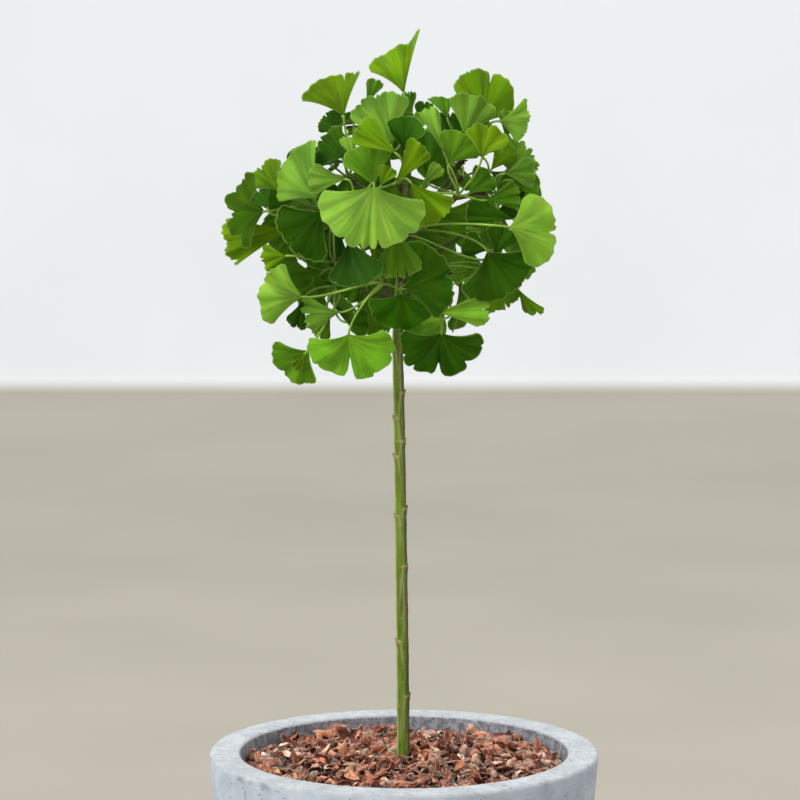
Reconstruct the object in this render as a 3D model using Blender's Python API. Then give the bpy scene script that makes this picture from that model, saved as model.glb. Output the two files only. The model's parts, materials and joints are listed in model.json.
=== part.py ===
"""A ginkgo grown as a small standard tree in a round concrete pot.

One slim green stem stands in the pot and carries a round head of fan leaves. The soil is covered with
cocoa shells. Lengths here are metres unless a name ends in _MM. +Z is up and the viewer of the front
stands on the -Y side. The origin is at the middle of the pot's foot.
"""

import math
import random
from collections import namedtuple

import bmesh
import bpy
import numpy as np
from mathutils import Vector
from mathutils.bvhtree import BVHTree
from mathutils.geometry import delaunay_2d_cdt

MM = 0.001
GAP = 0.3 * MM

# Pot
POT_HEIGHT = 0.300
POT_RIM_RADIUS = 0.1785
POT_FOOT_RADIUS = 0.1550
POT_WALL = 0.028
POT_FLOOR = 0.028
POT_RIM_ROUND = 0.007
POT_FOOT_ROUND = 0.004
DRAIN_RADIUS = 0.010
ROUND_SEGMENTS = 40

# Soil and the shells that cover it
MULCH_UNDERSIDE = 0.272
MULCH_EDGE_HEIGHT = 0.283
MULCH_DOME = 0.005
SHELL_SPACING = 0.0138
SHELL_RELIEF = 0.0070

# Stem
STEM_FOOT = 0.172
STEM_SIDES = 8
STEM_SEAT_RADIUS = 0.0063
STEM_NECK_RADIUS = 0.0051
STEM_TOP_RADIUS = 0.0029
STEM_TOP_HEIGHT = 0.773
STEM_LINE_MM = (
    (-0.4, 172), (-0.4, 290), (-1.4, 400), (-2.8, 500), (-4.4, 610), (-5.9, 677), (-4, 725), (1, 765), (5, 778),
)
STEM_KNOTS_MM = (350, 401, 470, 516, 523, 571, 585, 606, 629, 668)
STEM_KNOT_SWELL = 0.11
KNOT_HALF_HEIGHT_MM = 7
BUD_LENGTH = 0.0055
BUD_RADII = (2.0 * MM, 0.6 * MM)
BRANCH_RADIUS = 3.3 * MM
TWIG_RADIUS = 2.2 * MM

# Crown: places in it are (across, up) millimetres as the viewer sees them from the front, counted
# from the middle of the crown, and a depth in millimetres towards the viewer.
CROWN_HEIGHT = 0.785
VIEWPOINT = np.array((-0.0036, -2.8799, 0.9489))
CROWN_REACH_MM = 146
CROWN_HALF_MM = 168
CROWN_DEPTH_MM = 120
CROWN_WRAP = 0.6
CROWN_TURN = 0.55
BACK_HALF_WIDTH_MM = 130
BACK_HALF_HEIGHT_MM = 118
COVER_STEP_MM = 6
BACK_TRIALS = 160
BACK_FRONT_MM = 50

LEAF_THICKNESS = 0.8 * MM
LEAF_CLEARANCE = 0.5 * MM
PETIOLE_RADIUS = 1.1 * MM
SPUR_RADIUS = 2.9 * MM
SPUR_LENGTH = 9 * MM
MIDDLE_RING = 0.52
RIM_COLUMNS = ((0.056, 12), (0.040, 10), (0.0, 8))
BASE_NARROWING = 0.24
NOTCH_WIDTH = 0.10
FOLD_SOFTNESS = 0.10
HIDDEN_STALK = (0.026, 0.050)
HIDDEN_LENGTH = (0.037, 0.050)
HIDDEN_SPREAD = (52, 76)
HIDDEN_FORM = ((5, 28), (0.05, 0.28), (0.02, 0.08), (0.0, 0.2))

LEAF_TONES = {
    "bright": (0.20, 0.40, 0.006),
    "light": (0.30, 0.52, 0.050),
    "mid": (0.12, 0.27, 0.012),
    "grey": (0.16, 0.32, 0.035),
    "dark": (0.040, 0.13, 0.004),
}

Leaf = namedtuple("Leaf", "base tip depth spread tone lean roll form")
Blade = namedtuple("Blade", "base along face length spread squash form seed")

# The form of a fan: how far it cups, the depth of its middle notch and of its lobes, its sag, how much
# longer its right side is, how far its corners and its whole rim round off, and a fold (place, rise).
Form = namedtuple(
    "Form", "cup notch lobes sag skew corner dome fold",
    defaults=(12, 0.12, 0.03, 0.10, 0.0, 0.16, 0.0, (1.0, 0.0)),
)


def leaf(base, tip, depth, spread, tone, lean=0, roll=0, **form):
    """One leaf of the front: base and rim middle in mm, the fan's degrees left and right of its middle."""
    return Leaf(base, tip, depth, spread, tone, lean, roll, Form(**form))


# Each whorl: where its spur ends (across, up, depth), where its branch starts, and its leaves. A branch
# starts on the stem at a height in mm from the crown's middle, or at a share of another whorl's branch.
FRONT_WHORLS = {
    "top": ((3, 64, 2), -10, [
        leaf(
            (0, 114), (1, 160), 14, (58, 17), "bright",
            cup=14, lean=4, notch=0.0, skew=0.14, corner=0.0, fold=(0.12, 0.5),
        ),
        leaf((5, 90), (5, 117), -6, (20, 16), "mid"),
        leaf((-11, 66), (-27, 115), 48, (40, 40), "grey", notch=0.06),
        leaf((10, 75), (9, 98), 36, (42, 44), "mid"),
        leaf((15, 80), (19, 108), 10, (22, 22), "dark"),
    ]),
    "upper_left": ((-38, 46, 18), -24, [
        leaf(
            (-54, 93), (-55, 134), 34, (66, 38), "bright",
            cup=16, notch=0.06, skew=-0.08, corner=0.02, fold=(0.16, 0.6),
        ),
        leaf((-49, 57), (-77, 74), 36, (50, 46), "dark", lobes=0.08, corner=0.0),
        leaf((-55, 78), (-72, 96), 20, (44, 40), "dark"),
        leaf((-34, 103), (-25, 128), 8, (20, 22), "mid", notch=0.04),
        leaf((-52, 52), (-86, 56), 26, (36, 34), "dark", roll=62),
        leaf((-46, 54), (-51, 76), 52, (30, 30), "light", roll=48),
    ]),
    "left": ((-66, 4, 20), -52, [
        leaf(
            (-76, 19), (-112, 50), 62, (44, 42), "grey",
            notch=0.0, lean=-4, lobes=0.02, skew=0.18, corner=0.0, fold=(0.4, -0.35),
        ),
        leaf((-126, 8), (-166, 8), 50, (68, 78), "mid", notch=0.16, lobes=0.14, corner=0.08),
        leaf((-112, 26), (-132, 49), 28, (40, 46), "bright"),
        leaf((-123, 10), (-132, 28), 66, (38, 36), "dark", cup=30),
        leaf((-102, -8), (-167, -24), 36, (20, 24), "bright", notch=0.02, corner=0.06),
    ]),
    "left_low": ((-54, -34, 30), ("left", 0.35), [
        leaf((-72, 8), (-107, -24), 50, (56, 52), "dark"),
        leaf((-106, -32), (-130, -35), 54, (42, 40), "bright"),
        leaf((-66, -10), (-94, -36), 34, (44, 44), "dark"),
        leaf((-62, -56), (-84, -61), 18, (26, 26), "dark", lobes=0.10),
    ]),
    "centre_left": ((-36, 2, 62), ("front_high", 0.4), [
        leaf(
            (-27, 31), (-33, -24), 104, (82, 84), "grey",
            lean=20, notch=0.12, sag=0.16, cup=6, lobes=0.02, corner=0.12,
        ),
        leaf((-21, 31), (-13, 49), 92, (36, 36), "bright"),
        leaf((-52, 37), (-87, 38), 84, (28, 28), "grey", notch=0.05),
        leaf((-58, -4), (-80, -38), 46, (52, 44), "dark"),
        leaf((-46, 20), (-78, 24), 60, (34, 34), "dark"),
    ]),
    "front_high": ((-3, 28, 58), -36, [
        leaf((1, 62), (1, 94), 90, (54, 60), "dark", cup=56, lean=8, notch=0.02, lobes=0.0),
        leaf((-7, 60), (-43, 85), 98, (24, 26), "bright", lean=4),
        leaf((-8, 34), (22, 64), 92, (34, 16), "bright", roll=34, notch=0.0, corner=0.0),
        leaf((6, 34), (32, -1), 88, (36, 30), "bright", cup=26, lean=6, notch=0.03, corner=0.04),
        leaf((-27, 31), (-35, 70), 78, (48, 44), "mid", cup=38),
    ]),
    "upper_right": ((48, 48, 12), -30, [
        leaf(
            (70, 86), (80, 137), 28, (56, 46), "bright",
            cup=18, notch=0.05, lobes=0.0, corner=0.14, dome=0.22, fold=(0.45, -0.4),
        ),
        leaf((54, 75), (65, 114), 58, (40, 42), "grey", notch=0.03, lean=4),
        leaf((39, 91), (34, 112), 28, (34, 30), "mid", skew=-0.2, corner=-0.04, notch=0.02),
        leaf((85, 89), (114, 88), 44, (42, 50), "light", notch=0.05, skew=-0.2, corner=0.0),
        leaf((92, 70), (93, 100), 34, (18, 20), "mid"),
        leaf((40, 66), (42, 98), 22, (36, 36), "dark"),
    ]),
    "right_front": ((43, 17, 50), -42, [
        leaf((70, 56), (77, 87), 82, (48, 52), "bright", cup=26, lean=5, lobes=0.06),
        leaf((40, 50), (53, 80), 70, (42, 54), "mid", notch=0.04),
        leaf((36, 60), (20, 102), 64, (12, 16), "light", notch=0.0),
        leaf((73, 18), (106, 23), 58, (30, 24), "mid"),
        leaf((58, 24), (79, 43), 40, (40, 36), "mid"),
        leaf((21, 36), (31, 82), 46, (36, 36), "dark"),
        leaf((15, 30), (33, 50), 68, (20, 20), "light", notch=0.0),
    ]),
    "right": ((64, 24, 6), ("upper_right", 0.4), [
        leaf((78, 45), (97, 70), 44, (30, 32), "bright"),
        leaf((92, 45), (114, 68), 30, (46, 46), "grey", lobes=0.10, corner=0.04),
        leaf((90, 42), (120, 44), 50, (36, 36), "grey"),
        leaf((98, 36), (123, 31), 42, (30, 30), "mid"),
        leaf((84, 8), (114, 15), 8, (48, 46), "dark"),
        leaf((76, -27), (53, -20), 50, (40, 42), "dark", cup=30, lean=4),
        leaf((100, 1), (55, 5), 52, (12, 30), "dark", lean=-6, notch=0.0),
        leaf((77, -7), (56, -12), 40, (20, 20), "light"),
    ]),
    "centre_right": ((0, -20, 42), -60, [
        leaf((-8, -3), (-6, -53), 84, (34, 28), "mid", lean=6),
        leaf(
            (95, -6), (140, -12), 74, (78, 54), "light",
            lean=8, notch=0.16, lobes=0.04, skew=0.14, corner=0.26, fold=(0.45, -0.4),
        ),
        leaf((75, -28), (96, -70), 62, (66, 66), "dark", notch=0.05),
        leaf((82, -30), (92, -6), 42, (46, 44), "dark"),
    ]),
    "lower_right": ((18, -52, 24), -84, [
        leaf((0, -62), (45, -50), 76, (78, 60), "dark", lean=-4, notch=0.12),
        leaf((34, -102), (31, -144), 58, (98, 98), "dark", lean=6, notch=0.3, lobes=0.05),
        leaf((39, -88), (15, -95), 40, (34, 32), "light"),
        leaf((30, -83), (80, -82), 48, (24, 22), "light", lean=-4, notch=0.18),
        leaf((44, -58), (65, -51), 62, (28, 28), "light", roll=68),
        leaf((78, -46), (94, -81), 30, (34, 38), "mid"),
        leaf((103, -62), (119, -88), 34, (24, 24), "bright", roll=46),
    ]),
    "lower_front": ((-17, -60, 56), -90, [
        leaf((-49, -17), (-46, -61), 86, (52, 36), "grey", lean=8, notch=0.04, fold=(0.1, 0.4)),
        leaf((-36, -48), (-57, -70), 62, (34, 34), "dark"),
        leaf(
            (-91, -69), (-132, -63), 60, (46, 54), "light",
            lean=6, notch=0.0, lobes=0.02, skew=-0.16, corner=0.06, fold=(-0.66, -0.9),
        ),
        leaf((-50, -103), (-50, -147), 82, (112, 80), "mid", notch=0.44, lobes=0.02),
        leaf((-58, -83), (-94, -86), 50, (34, 32), "grey", notch=0.26, lobes=0.10, corner=0.04),
        leaf((-2, -66), (-4, -101), 70, (82, 80), "dark", notch=0.08),
    ]),
    "lower_left": ((-46, -62, 8), -78, [
        leaf((-86, -118), (-112, -141), 40, (62, 62), "mid", notch=0.04),
        leaf((-90, -121), (-98, -138), 50, (30, 30), "bright"),
        leaf((-91, -72), (-99, -99), 34, (26, 28), "dark"),
        leaf((-66, -84), (-78, -108), 30, (24, 24), "mid"),
        leaf((-52, -92), (-31, -92), 52, (52, 54), "dark", cup=30),
    ]),
}

# The whorls that the front hides: spur's end, start of its branch, number of leaves.
BACK_WHORLS = {
    "back_top": ((8, 60, -34), ("top", 0.5), 5),
    "back_high_left": ((-44, 34, -44), ("upper_left", 0.4), 5),
    "back_high_right": ((46, 34, -42), ("upper_right", 0.35), 5),
    "back_left": ((-60, -8, -34), ("left", 0.3), 5),
    "back_right": ((64, -4, -30), -66, 5),
    "back_middle": ((2, 4, -70), -48, 5),
    "back_low_left": ((-38, -44, -44), ("lower_left", 0.35), 5),
    "back_low_right": ((36, -46, -42), ("back_right", 0.3), 5),
}
WHORLS = {**FRONT_WHORLS, **BACK_WHORLS}

# Leaves that whorls of the front carry behind the listed ones, so that the head is full from its sides.
SIDE_LEAVES = {
    "left": 1, "left_low": 1, "lower_left": 1, "upper_left": 1, "upper_right": 1, "right": 2, "lower_right": 1,
}

# Gaps in the crown where the front shows clear through: (across, up, radius) in mm.
CLEAR_GAPS_MM = (
    (-90, -52, 13), (45, -70, 10), (50, -38, 8), (58, 46, 9), (-46, 70, 8), (52, 16, 9), (-70, -100, 14),
    (-86, 84, 14), (-84, 67, 8), (104, 118, 14),
)


def clear_scene():
    for obj in list(bpy.data.objects):
        bpy.data.objects.remove(obj, do_unlink=True)


def finish(name, colour, roughness):
    """A plain opaque finish."""
    made = bpy.data.materials.new(name)
    made.use_nodes = True
    shader = made.node_tree.nodes["Principled BSDF"]
    shader.inputs["Base Color"].default_value = (*colour, 1.0)
    shader.inputs["Roughness"].default_value = roughness
    shader.inputs["Metallic"].default_value = 0.0
    made.diffuse_color = (*colour, 1.0)
    return made


def solid(name, points, faces, material=None):
    """An object in the scene from points and faces, its faces turned outwards."""
    mesh = bpy.data.meshes.new(name)
    mesh.from_pydata([tuple(p) for p in points], [], [tuple(f) for f in faces])
    shape = bmesh.new()
    shape.from_mesh(mesh)
    bmesh.ops.recalc_face_normals(shape, faces=shape.faces)
    shape.to_mesh(mesh)
    shape.free()
    obj = bpy.data.objects.new(name, mesh)
    bpy.context.scene.collection.objects.link(obj)
    if material is not None:
        mesh.materials.append(material)
    return obj


def fuse(first, others):
    """Joins the other objects into the first with one union and removes them."""
    repeats = bpy.data.collections.new(first.name + "_repeats")
    for obj in others:
        repeats.objects.link(obj)
    union = first.modifiers.new("Union", "BOOLEAN")
    union.operation = "UNION"
    union.operand_type = "COLLECTION"
    union.collection = repeats
    union.solver = "MANIFOLD"
    graph = bpy.context.evaluated_depsgraph_get()
    joined = bpy.data.meshes.new_from_object(first.evaluated_get(graph))
    first.modifiers.clear()
    first.data = joined
    for obj in others:
        bpy.data.objects.remove(obj, do_unlink=True)
    bpy.data.collections.remove(repeats)


def turned(profile):
    """A profile of (radius, height) points, closed on itself, turned about the Z axis."""
    angles = np.arange(ROUND_SEGMENTS) * 2 * math.pi / ROUND_SEGMENTS
    radius, height = np.array(profile).T
    points = np.stack([
        np.outer(np.cos(angles), radius),
        np.outer(np.sin(angles), radius),
        np.tile(height, (ROUND_SEGMENTS, 1)),
    ], axis=-1).reshape(-1, 3)
    count = len(profile)
    faces = []
    for i in range(ROUND_SEGMENTS):
        here = i * count
        there = (i + 1) % ROUND_SEGMENTS * count
        for j in range(count):
            k = (j + 1) % count
            faces.append((here + j, there + j, there + k, here + k))
    return points, faces


def quarter(centre, radius, start, turn, steps):
    """Points of a quarter round from angle start, both angles in degrees."""
    angles = [math.radians(start + turn * i / steps) for i in range(steps + 1)]
    return [(centre[0] + radius * math.cos(a), centre[1] + radius * math.sin(a)) for a in angles]


def pot_outside(height):
    return POT_FOOT_RADIUS + (POT_RIM_RADIUS - POT_FOOT_RADIUS) * height / POT_HEIGHT


def pot_inside(height):
    return pot_outside(height) - POT_WALL


def make_pot():
    """A tapered round wall with a rounded rim, a thick floor and a drain hole."""
    rim = POT_HEIGHT - POT_RIM_ROUND
    foot = POT_FOOT_ROUND
    profile = [(DRAIN_RADIUS, 0.0)]
    profile += quarter((POT_FOOT_RADIUS - foot, foot), foot, -90, 90, 2)
    profile += quarter((pot_outside(rim) - POT_RIM_ROUND, rim), POT_RIM_ROUND, 0, 90, 2)
    profile += quarter((pot_inside(rim) + POT_RIM_ROUND, rim), POT_RIM_ROUND, 90, 90, 2)
    profile += [(pot_inside(POT_FLOOR), POT_FLOOR), (DRAIN_RADIUS, POT_FLOOR)]
    points, faces = turned(profile)
    return solid("pot", points, faces, finish("pale concrete", (0.50, 0.55, 0.60), 0.8))


def stem_radius(height):
    """The stem tapers from its seat in the soil to the neck under the crown, and on to its top."""
    heights = (STEM_FOOT, MULCH_EDGE_HEIGHT, CROWN_HEIGHT - 0.1, CROWN_HEIGHT + 0.07)
    radii = (STEM_SEAT_RADIUS, STEM_SEAT_RADIUS, STEM_NECK_RADIUS, STEM_TOP_RADIUS)
    return float(np.interp(height, heights, radii))


def stem_axis(height):
    """The stem's middle at a height, from a smooth curve through a few measured places."""
    line = np.array(STEM_LINE_MM) * MM
    return np.array((np.interp(height, line[:, 1], line[:, 0]), 0.0, height))


def stem_hole(clearance):
    """The corners of the plain round hole in which the stem stands."""
    turn = 2 * math.pi / STEM_SIDES
    radius = STEM_SEAT_RADIUS + clearance
    middle = stem_axis(MULCH_EDGE_HEIGHT)
    return [
        (middle[0] + radius * math.cos(turn * i), middle[1] + radius * math.sin(turn * i))
        for i in range(STEM_SIDES)
    ]


def plate(outline, hole, inner, top_of, underside):
    """A closed plate with a hole: its top is a net of triangles at a height for each point."""
    border = list(outline) + list(hole)
    count = len(outline)
    edges = [(i, (i + 1) % count) for i in range(count)]
    edges += [(count + i, count + (i + 1) % len(hole)) for i in range(len(hole))]
    middle = np.mean(hole, axis=0)
    reach = max(math.dist(corner, middle) for corner in hole)

    def net(extra):
        flat = [Vector(p) for p in border + list(extra)]
        made = delaunay_2d_cdt(flat, edges, [], 0, 1e-7)
        points = [tuple(p) for p in made[0]]
        kept = []
        for face in made[2]:
            centre = np.mean([points[i] for i in face], axis=0)
            if math.dist(centre, middle) > reach * 0.95:
                kept.append(tuple(face))
        return points, kept

    upper, upper_faces = net(inner)
    lower, lower_faces = net([])
    points = [(x, y, top_of(x, y, i >= len(border))) for i, (x, y) in enumerate(upper)]
    start = len(points)
    points += [(x, y, underside) for x, y in lower]
    faces = upper_faces + [tuple(start + i for i in reversed(face)) for face in lower_faces]
    faces += [(a, b, start + b, start + a) for a, b in edges]
    return points, faces


def ring_points(radius):
    turn = 2 * math.pi / ROUND_SEGMENTS
    return [(radius * math.cos(turn * i), radius * math.sin(turn * i)) for i in range(ROUND_SEGMENTS)]


def make_soil():
    """The soil fills the pot up to the shells and has a plain hole for the stem."""
    low = POT_FLOOR + GAP
    high = MULCH_UNDERSIDE - GAP
    angles = np.arange(ROUND_SEGMENTS) * 2 * math.pi / ROUND_SEGMENTS
    sides = [(pot_inside(low) - GAP, low), (pot_inside(high) - GAP, high)]
    points = [(r * math.cos(a), r * math.sin(a), z) for r, z in sides for a in angles]
    count = ROUND_SEGMENTS
    faces = [(i, (i + 1) % count, count + (i + 1) % count, count + i) for i in range(count)]
    faces += [tuple(reversed(range(count))), tuple(range(count, 2 * count))]
    body = solid("potting_soil", points, faces, finish("dark potting soil", (0.035, 0.022, 0.015), 0.95))
    hole = stem_hole(GAP)
    bottom = STEM_FOOT - GAP
    top = POT_HEIGHT
    corners = [(x, y, z) for z in (bottom, top) for x, y in hole]
    sides = len(hole)
    walls = [(i, (i + 1) % sides, sides + (i + 1) % sides, sides + i) for i in range(sides)]
    walls += [tuple(reversed(range(sides))), tuple(range(sides, 2 * sides))]
    cutter = solid("stem_hole_cutter", corners, walls)
    cut = body.modifiers.new("Stem hole", "BOOLEAN")
    cut.operation = "DIFFERENCE"
    cut.object = cutter
    graph = bpy.context.evaluated_depsgraph_get()
    made = bpy.data.meshes.new_from_object(body.evaluated_get(graph))
    body.modifiers.clear()
    body.data = made
    bpy.data.objects.remove(cutter, do_unlink=True)
    return body


def make_mulch():
    """A low dome of shells: a net of small tilted facets, each about as wide as a shell."""
    draw = random.Random(11)
    edge = pot_inside(MULCH_UNDERSIDE) - GAP
    hole = stem_hole(GAP)
    stem = stem_axis(MULCH_EDGE_HEIGHT)
    row = SHELL_SPACING * math.sqrt(3) / 2
    steps = int(edge / row) + 1
    inner = []
    for j in range(-steps, steps + 1):
        for i in range(-steps, steps + 1):
            x = (i + 0.5 * (j % 2)) * SHELL_SPACING + draw.uniform(-0.3, 0.3) * SHELL_SPACING
            y = j * row + draw.uniform(-0.3, 0.3) * SHELL_SPACING
            near_stem = math.dist((x, y), stem[:2]) < STEM_SEAT_RADIUS * 2
            if math.hypot(x, y) < edge - SHELL_SPACING * 0.6 and not near_stem:
                inner.append((x, y))

    def height(x, y, raised):
        share = min(math.hypot(x, y) / edge, 1.0)
        dome = MULCH_EDGE_HEIGHT + MULCH_DOME * (1 - share * share)
        return dome + (draw.uniform(-0.35, 0.65) * SHELL_RELIEF if raised else 0.0)

    points, faces = plate(ring_points(edge), hole, inner, height, MULCH_UNDERSIDE)
    return solid("cocoa_shell_mulch", points, faces, finish("cocoa shells", (0.26, 0.11, 0.06), 0.7))


def unit(vector):
    return vector / np.linalg.norm(vector)


def across_pair(direction):
    """Two unit vectors square to a direction and to each other."""
    helper = np.array((0.0, 0.0, 1.0)) if abs(direction[2]) < 0.9 else np.array((1.0, 0.0, 0.0))
    first = unit(np.cross(direction, helper))
    return first, np.cross(direction, first)


def tube(path, radii, sides):
    """A closed tube of flat sides along a path."""
    path = np.asarray(path, float)
    tangents = np.gradient(path, axis=0)
    first, _ = across_pair(unit(tangents[0]))
    points = []
    for centre, tangent, radius in zip(path, tangents, radii):
        tangent = unit(tangent)
        first = unit(first - tangent * first.dot(tangent))
        second = np.cross(tangent, first)
        for i in range(sides):
            angle = 2 * math.pi * i / sides
            points.append(centre + radius * (math.cos(angle) * first + math.sin(angle) * second))
    faces = []
    for j in range(len(path) - 1):
        for i in range(sides):
            k = (i + 1) % sides
            low, high = j * sides, (j + 1) * sides
            faces.append((low + i, low + k, high + k, high + i))
    end = (len(path) - 1) * sides
    faces.append(tuple(reversed(range(sides))))
    faces.append(tuple(end + i for i in range(sides)))
    return np.array(points), faces


def crown_place(across, up, depth):
    """A place in the crown: seen from the viewpoint it keeps its across and up at every depth."""
    flat = np.array((across * MM, 0.0, CROWN_HEIGHT + up * MM))
    return flat + (VIEWPOINT - flat) * depth * MM / abs(VIEWPOINT[1])


def bezier(a, b, c, d, steps):
    t = np.linspace(0, 1, steps + 1)[:, None]
    return (1 - t) ** 3 * a + 3 * (1 - t) ** 2 * t * b + 3 * (1 - t) * t * t * c + t ** 3 * d


def branch_path(spur, start):
    """A branch leaves the stem or another branch rising and bends out to its spur."""
    if isinstance(start, tuple):
        parent, share = start
        line = branch_path(*WHORLS[parent][:2])
        place = share * (len(line) - 1)
        low = int(place)
        root = line[low] + (line[low + 1] - line[low]) * (place - low)
    else:
        root = stem_axis(CROWN_HEIGHT + start * MM)
    end = crown_place(*spur)
    reach = np.linalg.norm(end - root)
    outward = unit(end - root)
    rising = root + np.array((0, 0, 0.30 * reach)) + outward * reach * 0.15
    arriving = end - unit(outward + np.array((0, 0, 0.1))) * reach * 0.35
    return bezier(root, rising, arriving, end, 3)


def branch_radii(start, count):
    """A branch from the stem is thicker at its root than one that forks from another branch."""
    root = TWIG_RADIUS * 1.1 if isinstance(start, tuple) else BRANCH_RADIUS
    return np.linspace(root, TWIG_RADIUS, count)


def spur_line(spur, start):
    """Root and direction of the spur that goes on from the end of a branch."""
    path = branch_path(spur, start)
    return path[-1], unit(path[-1] - path[-2])


def stem_heights():
    """Ring heights: a few along the stem and three round each knot, none closer than 3 mm."""
    heights = {STEM_FOOT, MULCH_EDGE_HEIGHT, *np.linspace(CROWN_HEIGHT - 0.095, STEM_TOP_HEIGHT, 4)}
    for knot in STEM_KNOTS_MM:
        heights |= {(knot + step) * MM for step in (-KNOT_HALF_HEIGHT_MM, 0, KNOT_HALF_HEIGHT_MM)}
    heights = sorted(heights)
    return [h for i, h in enumerate(heights) if i == 0 or h - heights[i - 1] > 3 * MM]


def make_trunk():
    """The stem with its knots and buds, and one branch for each whorl, grown together."""
    bark = finish("green bark", (0.19, 0.22, 0.06), 0.55)
    heights = stem_heights()
    radii = []
    for h in heights:
        at_knot = min(abs(h - knot * MM) for knot in STEM_KNOTS_MM) < 2.5 * MM
        radii.append(stem_radius(h) * (1 + STEM_KNOT_SWELL if at_knot else 1))
    trunk = solid("trunk", *upright_tube([stem_axis(h) for h in heights], radii), bark)
    parts = []
    for i, knot in enumerate(STEM_KNOTS_MM):
        side = math.radians(180 * (i % 2) + 25 * math.sin(2.4 * i))
        out = np.array((math.cos(side), -abs(math.sin(side)), 0.0))
        root = stem_axis(knot * MM) + out * stem_radius(knot * MM) * 0.7
        tip = root + out * 0.45 * BUD_LENGTH + np.array((0, 0, BUD_LENGTH))
        parts.append(solid(f"bud_{i}", *tube([root, tip], BUD_RADII, 4)))
    for name, (spur, start, *_) in WHORLS.items():
        path = branch_path(spur, start)
        points, faces = tube(path, branch_radii(start, len(path)), 5)
        parts.append(solid("branch_" + name, points, faces))
    fuse(trunk, parts)


def upright_tube(path, radii):
    """A tube whose rings all lie level, so that it fits a plain upright hole."""
    turn = 2 * math.pi / STEM_SIDES
    points = [
        centre + np.array((radius * math.cos(turn * i), radius * math.sin(turn * i), 0.0))
        for centre, radius in zip(path, radii)
        for i in range(STEM_SIDES)
    ]
    faces = []
    for j in range(len(path) - 1):
        for i in range(STEM_SIDES):
            k = (i + 1) % STEM_SIDES
            low, high = j * STEM_SIDES, (j + 1) * STEM_SIDES
            faces.append((low + i, low + k, high + k, high + i))
    end = (len(path) - 1) * STEM_SIDES
    faces.append(tuple(reversed(range(STEM_SIDES))))
    faces.append(tuple(end + i for i in range(STEM_SIDES)))
    return points, faces


def rim_shape(blade, u):
    """Rim distance over u from -1 to 1: rounded corners, a notch in the middle, lobes and fine waves."""
    form = blade.form
    draw = random.Random(blade.seed)
    phase, wave = draw.uniform(0, 6.28), draw.uniform(0, 6.28)
    angle = np.radians(u * np.where(u < 0, blade.spread[0], blade.spread[1]))
    oval = 1 / np.hypot(np.cos(angle), blade.squash * np.sin(angle))
    corners = (1 - form.corner * np.abs(u) ** 5 - form.dome * u ** 2) * (1 + form.skew * u) * oval
    notch = 1 - form.notch * np.exp(-(u / NOTCH_WIDTH) ** 2)
    lobes = 1 - form.lobes * (0.5 + 0.5 * np.cos(10.5 * u + phase)) ** 2
    fine = 1 + 0.012 * np.sin(31 * u + wave)
    return corners * notch * lobes * fine


def blade_surface(blade, u, v, lift=0.0):
    """The fan as a cone: u runs across from -1 to 1 and v from the base to the rim.

    A point lies at angle u times the spread, closing in towards the base, and at distance v times the
    rim. The fan is wrapped on a cone that tilts to the upper face by the cup, bends back by the sag
    times v squared, and waves along the rim. Beyond its fold it rises in proportion to u and v. lift
    moves it square to the blade.
    """
    form = blade.form
    draw = random.Random(blade.seed + 7)
    phase, ripple = draw.uniform(0, 6.28), draw.uniform(0.030, 0.050)
    side = np.cross(blade.along, blade.face)
    half = np.where(u < 0, blade.spread[0], blade.spread[1])
    angle = np.radians(u * half * (1 - BASE_NARROWING * (1 - v)))
    slope = math.radians(90 - form.cup)
    cone = math.cos(slope) * blade.along + math.sin(slope) * blade.face
    outer = math.sin(slope) * blade.along - math.cos(slope) * blade.face
    turn = (angle / math.sin(slope))[..., None]
    ray = math.cos(slope) * cone + math.sin(slope) * (np.cos(turn) * outer + np.sin(turn) * side)
    square = math.sin(slope) * cone - math.cos(slope) * (np.cos(turn) * outer + np.sin(turn) * side)
    distance = (v * rim_shape(blade, u) * blade.length)[..., None]
    waves = ripple * blade.length * (v ** 2 * np.sin(8.5 * u + phase))[..., None]
    bend = form.sag * blade.length * (v ** 2)[..., None]
    place, rise = form.fold
    past = (u - place) * math.copysign(1, place)
    folded = rise * blade.length * (v * (past + np.sqrt(past ** 2 + FOLD_SOFTNESS ** 2)) / 2)[..., None]
    return blade.base + distance * ray + (waves + folded + lift) * square - bend * blade.face


def carried(offsets, old, new):
    """Offsets turned by the least turn that takes the old direction to the new one."""
    x, y, z = np.cross(old, new)
    cross = np.array(((0, -z, y), (z, 0, -x), (-y, x, 0)))
    turn = np.eye(3) + cross + cross @ cross / (1 + old.dot(new))
    return offsets @ turn.T


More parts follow.
